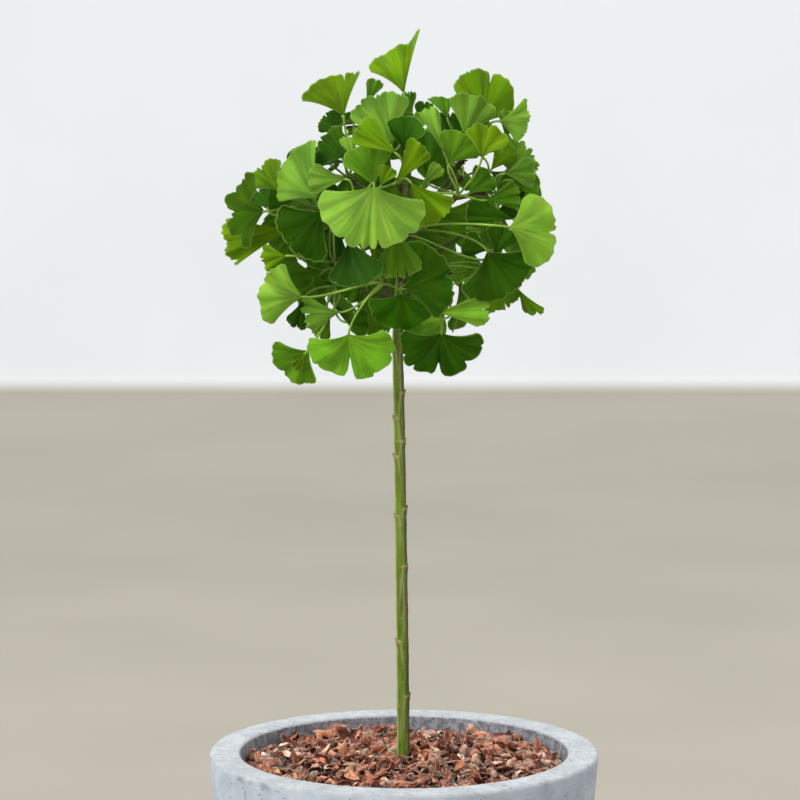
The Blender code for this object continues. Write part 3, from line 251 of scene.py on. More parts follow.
# Each whorl: where its spur ends (across, up, depth), where its branch starts, and its leaves. A branch
# starts on the stem at a height in mm from the crown's middle, or at a share of another whorl's branch.
FRONT_WHORLS = {
    "top": ((3, 64, 2), -10, [
        leaf(
            (0, 114), (1, 160), 14, (58, 17), "bright",
            cup=14, lean=4, notch=0.0, skew=0.14, corner=0.0, fold=(0.12, 0.5),
        ),
        leaf((5, 90), (5, 117), -6, (20, 16), "mid"),
        leaf((-11, 66), (-27, 115), 48, (40, 40), "grey", notch=0.06),
        leaf((10, 75), (9, 98), 36, (42, 44), "mid"),
        leaf((15, 80), (19, 108), 10, (22, 22), "dark"),
    ]),
    "upper_left": ((-38, 46, 18), -24, [
        leaf(
            (-54, 93), (-55, 134), 34, (66, 38), "bright",
            cup=16, notch=0.06, skew=-0.08, corner=0.02, fold=(0.16, 0.6),
        ),
        leaf((-49, 57), (-77, 74), 36, (50, 46), "dark", lobes=0.08, corner=0.0),
        leaf((-55, 78), (-72, 96), 20, (44, 40), "dark"),
        leaf((-34, 103), (-25, 128), 8, (20, 22), "mid", notch=0.04),
        leaf((-52, 52), (-86, 56), 26, (36, 34), "dark", roll=62),
        leaf((-46, 54), (-51, 76), 52, (30, 30), "light", roll=48),
    ]),
    "left": ((-66, 4, 20), -52, [
        leaf(
            (-76, 19), (-112, 50), 62, (44, 42), "grey",
            notch=0.0, lean=-4, lobes=0.02, skew=0.18, corner=0.0, fold=(0.4, -0.35),
        ),
        leaf((-126, 8), (-166, 8), 50, (68, 78), "mid", notch=0.16, lobes=0.14, corner=0.08),
        leaf((-112, 26), (-132, 49), 28, (40, 46), "bright"),
        leaf((-123, 10), (-132, 28), 66, (38, 36), "dark", cup=30),
        leaf((-102, -8), (-167, -24), 36, (20, 24), "bright", notch=0.02, corner=0.06),
    ]),
    "left_low": ((-54, -34, 30), ("left", 0.35), [
        leaf((-72, 8), (-107, -24), 50, (56, 52), "dark"),
        leaf((-106, -32), (-130, -35), 54, (42, 40), "bright"),
        leaf((-66, -10), (-94, -36), 34, (44, 44), "dark"),
        leaf((-62, -56), (-84, -61), 18, (26, 26), "dark", lobes=0.10),
    ]),
    "centre_left": ((-36, 2, 62), ("front_high", 0.4), [
        leaf(
            (-27, 31), (-33, -24), 104, (82, 84), "grey",
            lean=20, notch=0.12, sag=0.16, cup=6, lobes=0.02, corner=0.12,
        ),
        leaf((-21, 31), (-13, 49), 92, (36, 36), "bright"),
        leaf((-52, 37), (-87, 38), 84, (28, 28), "grey", notch=0.05),
        leaf((-58, -4), (-80, -38), 46, (52, 44), "dark"),
        leaf((-46, 20), (-78, 24), 60, (34, 34), "dark"),
    ]),
    "front_high": ((-3, 28, 58), -36, [
        leaf((1, 62), (1, 94), 90, (54, 60), "dark", cup=56, lean=8, notch=0.02, lobes=0.0),
        leaf((-7, 60), (-43, 85), 98, (24, 26), "bright", lean=4),
        leaf((-8, 34), (22, 64), 92, (34, 16), "bright", roll=34, notch=0.0, corner=0.0),
        leaf((6, 34), (32, -1), 88, (36, 30), "bright", cup=26, lean=6, notch=0.03, corner=0.04),
        leaf((-27, 31), (-35, 70), 78, (48, 44), "mid", cup=38),
    ]),
    "upper_right": ((48, 48, 12), -30, [
        leaf(
            (70, 86), (80, 137), 28, (56, 46), "bright",
            cup=18, notch=0.05, lobes=0.0, corner=0.14, dome=0.22, fold=(0.45, -0.4),
        ),
        leaf((54, 75), (65, 114), 58, (40, 42), "grey", notch=0.03, lean=4),
        leaf((39, 91), (34, 112), 28, (34, 30), "mid", skew=-0.2, corner=-0.04, notch=0.02),
        leaf((85, 89), (114, 88), 44, (42, 50), "light", notch=0.05, skew=-0.2, corner=0.0),
        leaf((92, 70), (93, 100), 34, (18, 20), "mid"),
        leaf((40, 66), (42, 98), 22, (36, 36), "dark"),
    ]),
    "right_front": ((43, 17, 50), -42, [
        leaf((70, 56), (77, 87), 82, (48, 52), "bright", cup=26, lean=5, lobes=0.06),
        leaf((40, 50), (53, 80), 70, (42, 54), "mid", notch=0.04),
        leaf((36, 60), (20, 102), 64, (12, 16), "light", notch=0.0),
        leaf((73, 18), (106, 23), 58, (30, 24), "mid"),
        leaf((58, 24), (79, 43), 40, (40, 36), "mid"),
        leaf((21, 36), (31, 82), 46, (36, 36), "dark"),
        leaf((15, 30), (33, 50), 68, (20, 20), "light", notch=0.0),
    ]),
    "right": ((64, 24, 6), ("upper_right", 0.4), [
        leaf((78, 45), (97, 70), 44, (30, 32), "bright"),
        leaf((92, 45), (114, 68), 30, (46, 46), "grey", lobes=0.10, corner=0.04),
        leaf((90, 42), (120, 44), 50, (36, 36), "grey"),
        leaf((98, 36), (123, 31), 42, (30, 30), "mid"),
        leaf((84, 8), (114, 15), 8, (48, 46), "dark"),
        leaf((76, -27), (53, -20), 50, (40, 42), "dark", cup=30, lean=4),
        leaf((100, 1), (55, 5), 52, (12, 30), "dark", lean=-6, notch=0.0),
        leaf((77, -7), (56, -12), 40, (20, 20), "light"),
    ]),
    "centre_right": ((0, -20, 42), -60, [
        leaf((-8, -3), (-6, -53), 84, (34, 28), "mid", lean=6),
        leaf(
            (95, -6), (140, -12), 74, (78, 54), "light",
            lean=8, notch=0.16, lobes=0.04, skew=0.14, corner=0.26, fold=(0.45, -0.4),
        ),
        leaf((75, -28), (96, -70), 62, (66, 66), "dark", notch=0.05),
        leaf((82, -30), (92, -6), 42, (46, 44), "dark"),
    ]),
    "lower_right": ((18, -52, 24), -84, [
        leaf((0, -62), (45, -50), 76, (78, 60), "dark", lean=-4, notch=0.12),
        leaf((34, -102), (31, -144), 58, (98, 98), "dark", lean=6, notch=0.3, lobes=0.05),
        leaf((39, -88), (15, -95), 40, (34, 32), "light"),
        leaf((30, -83), (80, -82), 48, (24, 22), "light", lean=-4, notch=0.18),
        leaf((44, -58), (65, -51), 62, (28, 28), "light", roll=68),
        leaf((78, -46), (94, -81), 30, (34, 38), "mid"),
        leaf((103, -62), (119, -88), 34, (24, 24), "bright", roll=46),
    ]),
    "lower_front": ((-17, -60, 56), -90, [
        leaf((-49, -17), (-46, -61), 86, (52, 36), "grey", lean=8, notch=0.04, fold=(0.1, 0.4)),
        leaf((-36, -48), (-57, -70), 62, (34, 34), "dark"),
        leaf(
            (-91, -69), (-132, -63), 60, (46, 54), "light",
            lean=6, notch=0.0, lobes=0.02, skew=-0.16, corner=0.06, fold=(-0.66, -0.9),
        ),
        leaf((-50, -103), (-50, -147), 82, (112, 80), "mid", notch=0.44, lobes=0.02),
        leaf((-58, -83), (-94, -86), 50, (34, 32), "grey", notch=0.26, lobes=0.10, corner=0.04),
        leaf((-2, -66), (-4, -101), 70, (82, 80), "dark", notch=0.08),
    ]),
    "lower_left": ((-46, -62, 8), -78, [
        leaf((-86, -118), (-112, -141), 40, (62, 62), "mid", notch=0.04),
        leaf((-90, -121), (-98, -138), 50, (30, 30), "bright"),
        leaf((-91, -72), (-99, -99), 34, (26, 28), "dark"),
        leaf((-66, -84), (-78, -108), 30, (24, 24), "mid"),
        leaf((-52, -92), (-31, -92), 52, (52, 54), "dark", cup=30),
    ]),
}

# The whorls that the front hides: spur's end, start of its branch, number of leaves.
BACK_WHORLS = {
    "back_top": ((8, 60, -34), ("top", 0.5), 5),
    "back_high_left": ((-44, 34, -44), ("upper_left", 0.4), 5),
    "back_high_right": ((46, 34, -42), ("upper_right", 0.35), 5),
    "back_left": ((-60, -8, -34), ("left", 0.3), 5),
    "back_right": ((64, -4, -30), -66, 5),
    "back_middle": ((2, 4, -70), -48, 5),
    "back_low_left": ((-38, -44, -44), ("lower_left", 0.35), 5),
    "back_low_right": ((36, -46, -42), ("back_right", 0.3), 5),
}
WHORLS = {**FRONT_WHORLS, **BACK_WHORLS}

# Leaves that whorls of the front carry behind the listed ones, so that the head is full from its sides.
SIDE_LEAVES = {
    "left": 1, "left_low": 1, "lower_left": 1, "upper_left": 1,
    "upper_right": 1, "right": 2, "lower_right": 1,
}

# Stage: the floor's front edge and far end, its bend up into the wall, the wall's top and half the width.
FLOOR_FRONT = -6.0
FLOOR_END = 5.6
WALL_BEND = 0.05
WALL_TOP = 6.0
BACKDROP_HALF = 9.0

# The soft lamps: the side that the light of each comes from, and its tint.
LAMPS = {
    "soft_lamp_left": ((-2.3, -2.0, 2.6), (1.0, 0.985, 0.96)),
    "soft_lamp_back": ((0.9, 2.0, 2.2), (1.0, 0.99, 0.95)),
}
LAMP_SPREAD = math.radians(45)
SKY_TINT = (0.96, 0.98, 1.0, 1.0)
VIEW_CLIP = 60


# Sizes and colours that a user would change


class GinkgoLeafLook(bpy.types.PropertyGroup):
    thickness: FloatProperty(
        name="Leaf thickness", description="Thickness of a blade at its middle",
        default=0.5 * MM, unit="LENGTH",
    )
    edge: FloatVectorProperty(
        name="Leaf edge", description="Colour of the thin pale margin of a blade",
        default=(0.36, 0.53, 0.11), subtype="COLOR",
    )
    glow: FloatProperty(
        name="Glow", description="Share of the light that passes through a blade",
        default=0.40, min=0, max=1, subtype="FACTOR",
    )


class GinkgoStemLook(bpy.types.PropertyGroup):
    green: FloatVectorProperty(
        name="Young bark", description="Green of the young stem",
        default=(0.084, 0.142, 0.0035), subtype="COLOR",
    )
    brown: FloatVectorProperty(
        name="Old bark", description="Brown of the bark that forms in streaks",
        default=(0.24, 0.17, 0.095), subtype="COLOR",
    )


class GinkgoShellLook(bpy.types.PropertyGroup):
    count: IntProperty(name="Shells", description="Number of cocoa shells", default=1550, min=1)
    length: FloatProperty(
        name="Shell length", description="Length of a middling shell", default=0.0225, unit="LENGTH",
    )


class GinkgoPotLook(bpy.types.PropertyGroup):
    wall: FloatVectorProperty(
        name="Concrete", description="Colour of the pot's outer wall",
        default=(0.45, 0.505, 0.59), subtype="COLOR",
    )
    rim: FloatVectorProperty(
        name="Rim", description="Greyer colour of the worn rim",
        default=(0.415, 0.443, 0.468), subtype="COLOR",
    )
    unevenness: FloatProperty(
        name="Unevenness", description="Depth of the dents of the hand-cast wall",
        default=0.35 * MM, unit="LENGTH",
    )


class GinkgoStageLook(bpy.types.PropertyGroup):
    floor: FloatVectorProperty(
        name="Floor", description="Colour of the plain floor",
        default=(0.345, 0.317, 0.255), subtype="COLOR",
    )
    wall: FloatVectorProperty(
        name="Wall", description="Colour of the plain wall",
        default=(0.82, 0.85, 0.89), subtype="COLOR",
    )
    lamp: FloatProperty(name="Lamps", description="Strength of each of the two soft lamps", default=2.4)
    sky: FloatProperty(name="Sky", description="Strength of the even light from all round", default=0.76)


def look(name):
    """The settings of one part of the object."""
    return getattr(bpy.context.scene, "ginkgo_" + name)


# Geometry shared by the pieces


def unit(vectors):
    """Each vector divided by its length."""
    return vectors / np.linalg.norm(vectors, axis=-1, keepdims=True)


def across_pair(direction):
    """Two unit vectors square to a direction and to each other."""
    helper = np.array((0.0, 0.0, 1.0)) if abs(direction[2]) < 0.9 else np.array((1.0, 0.0, 0.0))
    first = unit(np.cross(direction, helper))
    return first, np.cross(direction, first)


def bezier(a, b, c, d, steps):
    """Points of the cubic curve that leaves a towards b and comes to d from c, at even shares."""
    t = np.linspace(0, 1, steps + 1)[:, None]
    return (1 - t) ** 3 * a + 3 * (1 - t) ** 2 * t * b + 3 * (1 - t) * t * t * c + t ** 3 * d


def joined(*parts):
    """Arrays and numbers side by side, as the coordinates or the values of points."""
    return np.stack(np.broadcast_arrays(*parts), axis=-1)


def grid_quads(rows, columns, round_about=False):
    """Corner numbers of the quads of a grid, whose last column joins its first if it goes round."""
    across = columns if round_about else columns - 1
    j, i = np.meshgrid(np.arange(rows - 1), np.arange(across), indexing="ij")
    k = (i + 1) % columns
    corners = (j * columns + i, j * columns + k, (j + 1) * columns + k, (j + 1) * columns + i)
    return np.stack(corners, axis=-1).reshape(-1, 4)


def fan(centre, ring, outwards=True):
    """Triangles from a centre's number to the numbers of the ring round it."""
    after = np.roll(ring, -1)
    pair = (ring, after) if outwards else (after, ring)
    return np.stack([np.full(len(ring), centre), *pair], axis=-1)


def strip(first, second):
    """Quads between two rows of corner numbers."""
    return np.stack([first[:-1], first[1:], second[1:], second[:-1]], axis=-1)


def closed(ring):
    """A ring of corner numbers with its first one again at its end."""
    return np.append(ring, ring[0])


def tube_faces(rows, sides):
    """The wall of a round tube and the fans of its ends, whose middles are the two points after it."""
    ring = np.arange(sides)
    count = rows * sides
    return [grid_quads(rows, sides, True), fan(count, ring, False), fan(count + 1, ring + count - sides)]


class Batch:
    """Surfaces gathered into one mesh. Every point has a three-number value for each name."""

    def __init__(self, *names):
        self.points = []
        self.values = {name: [] for name in names}
        self.faces = []
        self.count = 0

    def add(self, points, faces, finish=0, **values):
        """Adds points, the blocks of faces that number them, and their values. A name left out is 0."""
        points = np.asarray(points, float).reshape(-1, 3)
        for name, kept in self.values.items():
            value = np.asarray(values.get(name, (0.0, 0.0, 0.0)), float)
            kept.append(np.broadcast_to(value.reshape(-1, 3), points.shape))
        self.faces += [(block + self.count, finish) for block in faces]
        self.points.append(points)
        self.count += len(points)

    def build(self, name, slot, node, *materials):
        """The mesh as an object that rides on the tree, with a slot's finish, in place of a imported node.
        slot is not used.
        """
        mesh = bpy.data.meshes.new(name)
        points = np.concatenate(self.points)
        corners = np.concatenate([block.ravel() for block, _ in self.faces])
        sizes = np.concatenate([np.full(len(block), block.shape[1]) for block, _ in self.faces])
        finishes = np.concatenate([np.full(len(block), finish) for block, finish in self.faces])
        mesh.vertices.add(len(points))
        mesh.vertices.foreach_set("co", points.astype(np.float32).ravel())
        mesh.loops.add(len(corners))
        mesh.loops.foreach_set("vertex_index", corners.astype(np.int32))
        mesh.polygons.add(len(sizes))
        mesh.polygons.foreach_set("loop_start", (np.cumsum(sizes) - sizes).astype(np.int32))
        mesh.polygons.foreach_set("material_index", finishes.astype(np.int32))
        for label, kept in self.values.items():
            made = mesh.attributes.new(label, "FLOAT_VECTOR", "POINT")
            made.data.foreach_set("vector", np.concatenate(kept).astype(np.float32).ravel())
        for material in materials:
            mesh.materials.append(material)
        mesh.update(calc_edges=True)
        mesh.shade_smooth()
        piece = bpy.data.objects.new(name, mesh)
        bpy.context.scene.collection.objects.link(piece)
        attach(piece, "root")
        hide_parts(node)
        return piece


def tube(path, radii, sides):
    """A closed round tube: circle j has its middle at path[j], stands square to the path and has radius
    radii[j]. Its circles start from the direction that the path turns least towards."""
    tangent = unit(np.gradient(path, axis=0))
    helper = np.linalg.svd(tangent)[2][-1]
    first = unit(np.cross(tangent, helper))
    second = np.cross(tangent, first)
    turn = np.arange(sides)[:, None] * 2 * math.pi / sides
    circle = np.cos(turn) * first[:, None] + np.sin(turn) * second[:, None]
    points = (path[:, None] + radii[:, None, None] * circle).reshape(-1, 3)
    return np.concatenate([points, path[[0, -1]]]), tube_faces(len(path), sides)


# Shader trees


class Wiring:
    """Adds nodes to a shader tree and joins their sockets. The materials call theirs w."""

    def __init__(self, tree):
        self.tree = tree

    def put(self, socket, value):
        """Links an output to a socket, or sets the socket's own value. A colour has no alpha here."""
        if isinstance(value, bpy.types.NodeSocket):
            self.tree.links.new(value, socket)
        elif socket.type == "RGBA":
            socket.default_value = (*value, 1.0)
        else:
            socket.default_value = value

    def node(self, kind, sockets, **settings):
        """A node of a kind with its settings, and with values or links in some of its sockets."""
        made = self.tree.nodes.new("ShaderNode" + kind)
        for name, value in settings.items():
            setattr(made, name, value)
        for place, value in sockets.items():
            self.put(made.inputs[place], value)
        return made

    def math(self, operation, *values):
        return self.node("Math", dict(enumerate(values)), operation=operation).outputs[0]

    def times(self, a, b):
        return self.math("MULTIPLY", a, b)

    def mix(self, share, a, b):
        return self.node("Mix", {0: share, 6: a, 7: b}, data_type="RGBA").outputs[2]

    def paint(self, base, mask, share, over):
        """A colour laid over the base by a share of its mask."""
        return self.mix(self.times(mask, share), base, over)

    def step(self, value, low, high, bottom=0.0, top=1.0):
        """A smooth step from bottom to top as the value goes from low to high."""
        sockets = {0: value, 1: low, 2: high, 3: bottom, 4: top}
        return self.node("MapRange", sockets, interpolation_type="SMOOTHSTEP").outputs[0]

    def scaled(self, place, scale):
        return self.node("VectorMath", {0: place, 1: scale}, operation="MULTIPLY").outputs[0]

    def noise(self, place, scale, detail=3.0):
        return self.node("TexNoise", {"Vector": place, "Scale": scale, "Detail": detail}).outputs["Fac"]

    def attribute(self, name):
        return self.node("Attribute", {}, attribute_name=name).outputs["Vector"]

    def split(self, vector):
        return self.node("SeparateXYZ", {0: vector}).outputs[:]

    def here(self):
        return self.node("TexCoord", {}).outputs["Object"]

    def shifted(self, colour, value, saturation=1.0, hue=0.5):
        """A colour made paler or darker, stronger or duller, or turned in hue."""
        sockets = {"Hue": hue, "Saturation": saturation, "Value": value, "Color": colour}
        return self.node("HueSaturation", sockets).outputs[0]

    def bump(self, height, strength, distance):
        sockets = {"Height": height, "Strength": strength, "Distance": distance}
        return self.node("Bump", sockets).outputs[0]

    def surface(self, base, roughness, normal=None, specular=0.5):
        """The material's Principled shader with its main sockets set or linked."""
        shader = self.tree.nodes["Principled BSDF"]
        names = ("Base Color", "Roughness", "Normal", "Specular IOR Level")
        for name, value in zip(names, (base, roughness, normal, specular)):
            if value is not None:
                self.put(shader.inputs[name], value)
        return shader


def effect(w, name, inputs, outputs, wire, values):
    """A shader node group, built once and placed in a material with its own values.

    An input is (label, kind, default) and an output (label, kind).
    """
    tree = bpy.data.node_groups.get(name)
    if tree is None:
        tree = bpy.data.node_groups.new(name, "ShaderNodeTree")
        for label, kind, default in inputs:
            socket = tree.interface.new_socket(label, in_out="INPUT", socket_type="NodeSocket" + kind)
            if default is not None:
                socket.default_value = default
        for label, kind in outputs:
            tree.interface.new_socket(label, in_out="OUTPUT", socket_type="NodeSocket" + kind)
        wiring = Wiring(tree)
        given = tree.nodes.new("NodeGroupInput").outputs
        result = tree.nodes.new("NodeGroupOutput").inputs
        for socket, value in zip(result, wire(wiring, *given[:len(inputs)])):
            wiring.put(socket, value)
    return w.node("Group", dict(enumerate(values)), node_tree=tree).outputs


def mottle(w, *values):
    """Two colours mixed by soft clouds: noise at the scale and at four times the scale, made steeper."""

    def wire(w, place, scale, dark, pale):
        wide = w.noise(place, scale, 4.0)
        fine = w.noise(place, w.times(scale, 4.0), 3.0)
        share = w.step(w.math("MULTIPLY_ADD", fine, 0.4, w.times(wide, 0.6)), 0.36, 0.64)
        return [w.mix(share, dark, pale), share]

    inputs = [
        ("Vector", "Vector", None), ("Scale", "Float", 20.0),
        ("Dark", "Color", (0.2, 0.2, 0.2, 1.0)), ("Pale", "Color", (0.6, 0.6, 0.6, 1.0)),
    ]
    return effect(w, "Mottle", inputs, [("Color", "Color"), ("Share", "Float")], wire, values)


def streaks(w, *values):
    """A mask of fine lines: noise stretched along the second axis of the coordinates."""

    def wire(w, place, across, along):
        x, y, z = w.split(place)
        stretched = w.node("CombineXYZ", {0: w.times(x, across), 1: w.times(y, along), 2: z})
        return [w.step(w.noise(stretched.outputs[0], 1.0, 2.0), 0.34, 0.66)]

    inputs = [("Vector", "Vector", None), ("Across", "Float", 20.0), ("Along", "Float", 1.0)]
    return effect(w, "Streaks", inputs, [("Lines", "Float")], wire, values)[0]


def pits(w, *values):
    """A mask of small round pits: the middles of scattered cells, kept only where a cloud is high."""

    def wire(w, place, scale, share):
        cells = w.node("TexVoronoi", {"Vector": place, "Scale": scale}).outputs["Distance"]
        cloud = w.noise(place, w.times(scale, 0.45), 2.0)
        chosen = w.step(cloud, w.math("SUBTRACT", 0.72, share), w.math("SUBTRACT", 0.76, share))
        return [w.times(w.step(cells, 0.30, 0.12), chosen)]

    inputs = [("Vector", "Vector", None), ("Scale", "Float", 200.0), ("Share", "Float", 0.1)]
    return effect(w, "Pits", inputs, [("Mask", "Float")], wire, values)[0]


def new_material(name):
    """A material with the wiring of its shader tree."""
    made = bpy.data.materials.new(name)
    made.use_nodes = True
    return made, Wiring(made.node_tree)


def leaf_material(name, brightness):
    """A ginkgo blade: veins that fan out, a thin pale margin, a paler underside and light shining through,
    whose colour is as many times brighter than the blade's as brightness says.

    tone is the leaf's colour. fan is (cm across at the rim, share of the way out, leaf's number). part is
    (1 on the underside, 1 on a stalk, nearness to the margin).
    """
    made, w = new_material(name)
    settings = look("leaf")
    tone = w.attribute("tone")
    along = w.attribute("fan")
    under, stalk, margin = w.split(w.attribute("part"))
    veins = streaks(w, along, 13.0, 0.6)
    ribs = streaks(w, along, 5.0, 0.4)
    broad_tone_and_shade = streaks(w, along, 0.8, 0.8)
    out = w.split(along)[1]
    patches = w.noise(w.here(), 34.0, 2.0)
    # The broad streaks are partly the leaf's own tone and partly painted light and shade of its folds.
    value = w.math("ADD", w.step(broad_tone_and_shade, 0.0, 1.0, 0.76, 1.18), w.step(patches, 0.3, 0.7, -0.12, 0.12))
    # Painted shade: the blade is darker towards its base.
    value = w.math("ADD", value, w.step(out, 0.05, 0.75, -0.20, 0.04))
    base = w.shifted(tone, value, 1.0, w.step(patches, 0.3, 0.7, 0.508, 0.492))
    base = w.paint(base, ribs, 0.17, w.shifted(tone, 1.45, 0.97))
    base = w.paint(base, veins, 0.15, w.shifted(tone, 0.66))
    base = w.paint(base, under, 0.60, w.mix(0.20, w.shifted(base, 1.15, 0.95), (0.20, 0.34, 0.02)))
    base = w.paint(base, margin, 0.50, settings.edge)
    height = w.math("MULTIPLY_ADD", ribs, 0.7, w.times(veins, -0.5))
    normal = w.bump(height, 0.45, 0.25 * MM)
    shader = w.surface(base, w.step(patches, 0.3, 0.7, 0.36, 0.50), normal, 0.06)
    through = w.shifted(base, brightness, 1.10, 0.488)
    thin = w.node("BsdfTranslucent", {"Color": through, "Normal": normal})
    glow = w.times(w.math("SUBTRACT", 1.0, stalk), settings.glow)
    both = w.node("MixShader", {0: glow, 1: shader.outputs[0], 2: thin.outputs[0]})
    w.put(made.node_tree.nodes["Material Output"].inputs["Surface"], both.outputs[0])
    return made


def spur_material():
    """Short shoots: brown rings of old leaf scars and dry bud scales with paler tips.

    part is (1 on a scale, share of the way out, unused).
    """
    made, w = new_material("Spur bark")
    kind, out = w.split(w.attribute("part"))[:2]
    brown, share = mottle(w, w.here(), 420.0, (0.035, 0.026, 0.010), (0.13, 0.10, 0.035))
    rings = w.step(w.math("SINE", w.times(out, 38.0)), -0.2, 0.9)
    base = w.paint(brown, rings, 0.45, (0.030, 0.020, 0.010))
    base = w.mix(w.times(kind, w.step(out, 0.3, 1.0)), base, (0.30, 0.17, 0.07))
    w.surface(base, 0.62, w.bump(share, 0.5, 0.3 * MM), 0.25)
    return made


def bark_material():
    """The young stem: green skin with olive and beige streaks, tan scars and dots, a dark right side that is
    partly brown bark and partly painted shade, and a painted highlight down its left.

    grain is (sine of the way round, height in cm, cosine and number). part is (1 at a scar, 1 on a
    branch, 1 on a bud), and ridge is 1 on the pale line that runs down from a scar.
    """
    made, w = new_material("Green bark")
    settings = look("stem")
    grain = w.attribute("grain")
    scar, branch, bud = w.split(w.attribute("part"))
    ridge = w.split(w.attribute("ridge"))[0]
    side = w.split(grain)[2]
    place = w.here()
    wide = streaks(w, grain, 2.8, 0.09)
    fine = streaks(w, grain, 9.0, 0.5)
    cloud = w.noise(place, 260.0, 3.0)
    patches = w.noise(w.scaled(place, (1.0, 1.0, 0.25)), 120.0, 2.0)
    green = w.shifted(settings.green, w.step(patches, 0.3, 0.7, 0.75, 1.30))
    green = w.paint(green, fine, 0.5, w.shifted(settings.green, 1.9, 0.85))
    beige = w.mix(cloud, settings.brown, (0.40, 0.37, 0.20))
    brown = w.mix(cloud, (0.028, 0.030, 0.006), (0.095, 0.085, 0.022))
    tan = w.mix(cloud, (0.20, 0.12, 0.045), (0.52, 0.42, 0.22))
    twig = w.mix(cloud, (0.045, 0.062, 0.012), (0.12, 0.155, 0.035))
    base = w.paint(green, w.step(wide, 0.62, 0.98), 0.75, beige)
    # Partly brown bark and partly painted shade: the stem's right side darkened.
    base = w.mix(w.step(side, 0.55, 0.85, 0.0, 0.85), base, brown)
    # Painted highlight: a pale line down the stem's left side.
    base = w.mix(w.step(side, -0.70, -0.96, 0.0, 0.80), base, (0.38, 0.47, 0.12))
    base = w.paint(base, ridge, 0.60, (0.37, 0.37, 0.17))
    base = w.mix(w.step(scar, 0.25, 0.55, 0.0, 0.90), base, tan)
    base = w.mix(w.step(scar, 0.70, 0.90, 0.0, 0.90), base, (0.035, 0.020, 0.010))
    base = w.paint(base, branch, 0.85, twig)
    base = w.paint(base, bud, 0.85, w.mix(cloud, brown, tan))
    dots = pits(w, w.scaled(place, (1.0, 1.0, 0.55)), 420.0, 0.16)
    base = w.paint(base, dots, 0.6, (0.44, 0.42, 0.22))
    height = w.math("MULTIPLY_ADD", fine, 0.5, w.math("MULTIPLY_ADD", scar, 0.8, dots))
    w.surface(base, w.step(cloud, 0.2, 0.8, 0.40, 0.58), w.bump(height, 0.5, 0.3 * MM), 0.18)
    return made


def shell_material():
    """Cocoa shells: each its own brown, duller on one face, with dry fibres and a pale broken edge that is
    partly a painted highlight.

    tone is the shell's colour and part is (nearness to the edge, 1 on the duller face, unused).
    """
    made, w = new_material("Cocoa shell")
    tone = w.attribute("tone")
    edge, duller = w.split(w.attribute("part"))[:2]
    place = w.here()
    cloud = w.noise(place, 210.0, 4.0)
    fibres = w.noise(w.scaled(place, (1.0, 0.35, 0.6)), 900.0, 2.0)
    base = w.shifted(tone, w.step(cloud, 0.30, 0.70, 0.42, 1.55))
    base = w.paint(base, duller, 0.5, w.shifted(tone, 1.15, 0.92))
    # Partly a real broken edge and partly a painted highlight: the shells' pale rims.
    broken = w.times(w.step(edge, 0.84, 1.0), w.step(fibres, 0.42, 0.66, 0.0, 0.75))
    base = w.mix(broken, base, (0.72, 0.46, 0.31))
    normal = w.bump(w.math("MULTIPLY_ADD", fibres, 0.5, cloud), 0.7, 0.35 * MM)
    w.surface(base, w.step(fibres, 0.3, 0.7, 0.22, 0.44), normal, 0.28)
    return made


def soil_material():
    """Crumbs of soil: two dark browns in clouds with a rough bump."""
    made, w = new_material("Potting soil")
    place = w.here()
    crumbs, share = mottle(w, place, 140.0, (0.020, 0.012, 0.008), (0.060, 0.038, 0.025))
    grit = w.noise(place, 900.0, 3.0)
    w.surface(crumbs, w.step(grit, 0.3, 0.7, 0.85, 0.97), w.bump(w.math("ADD", share, grit), 0.8, 1.0 * MM))
    return made


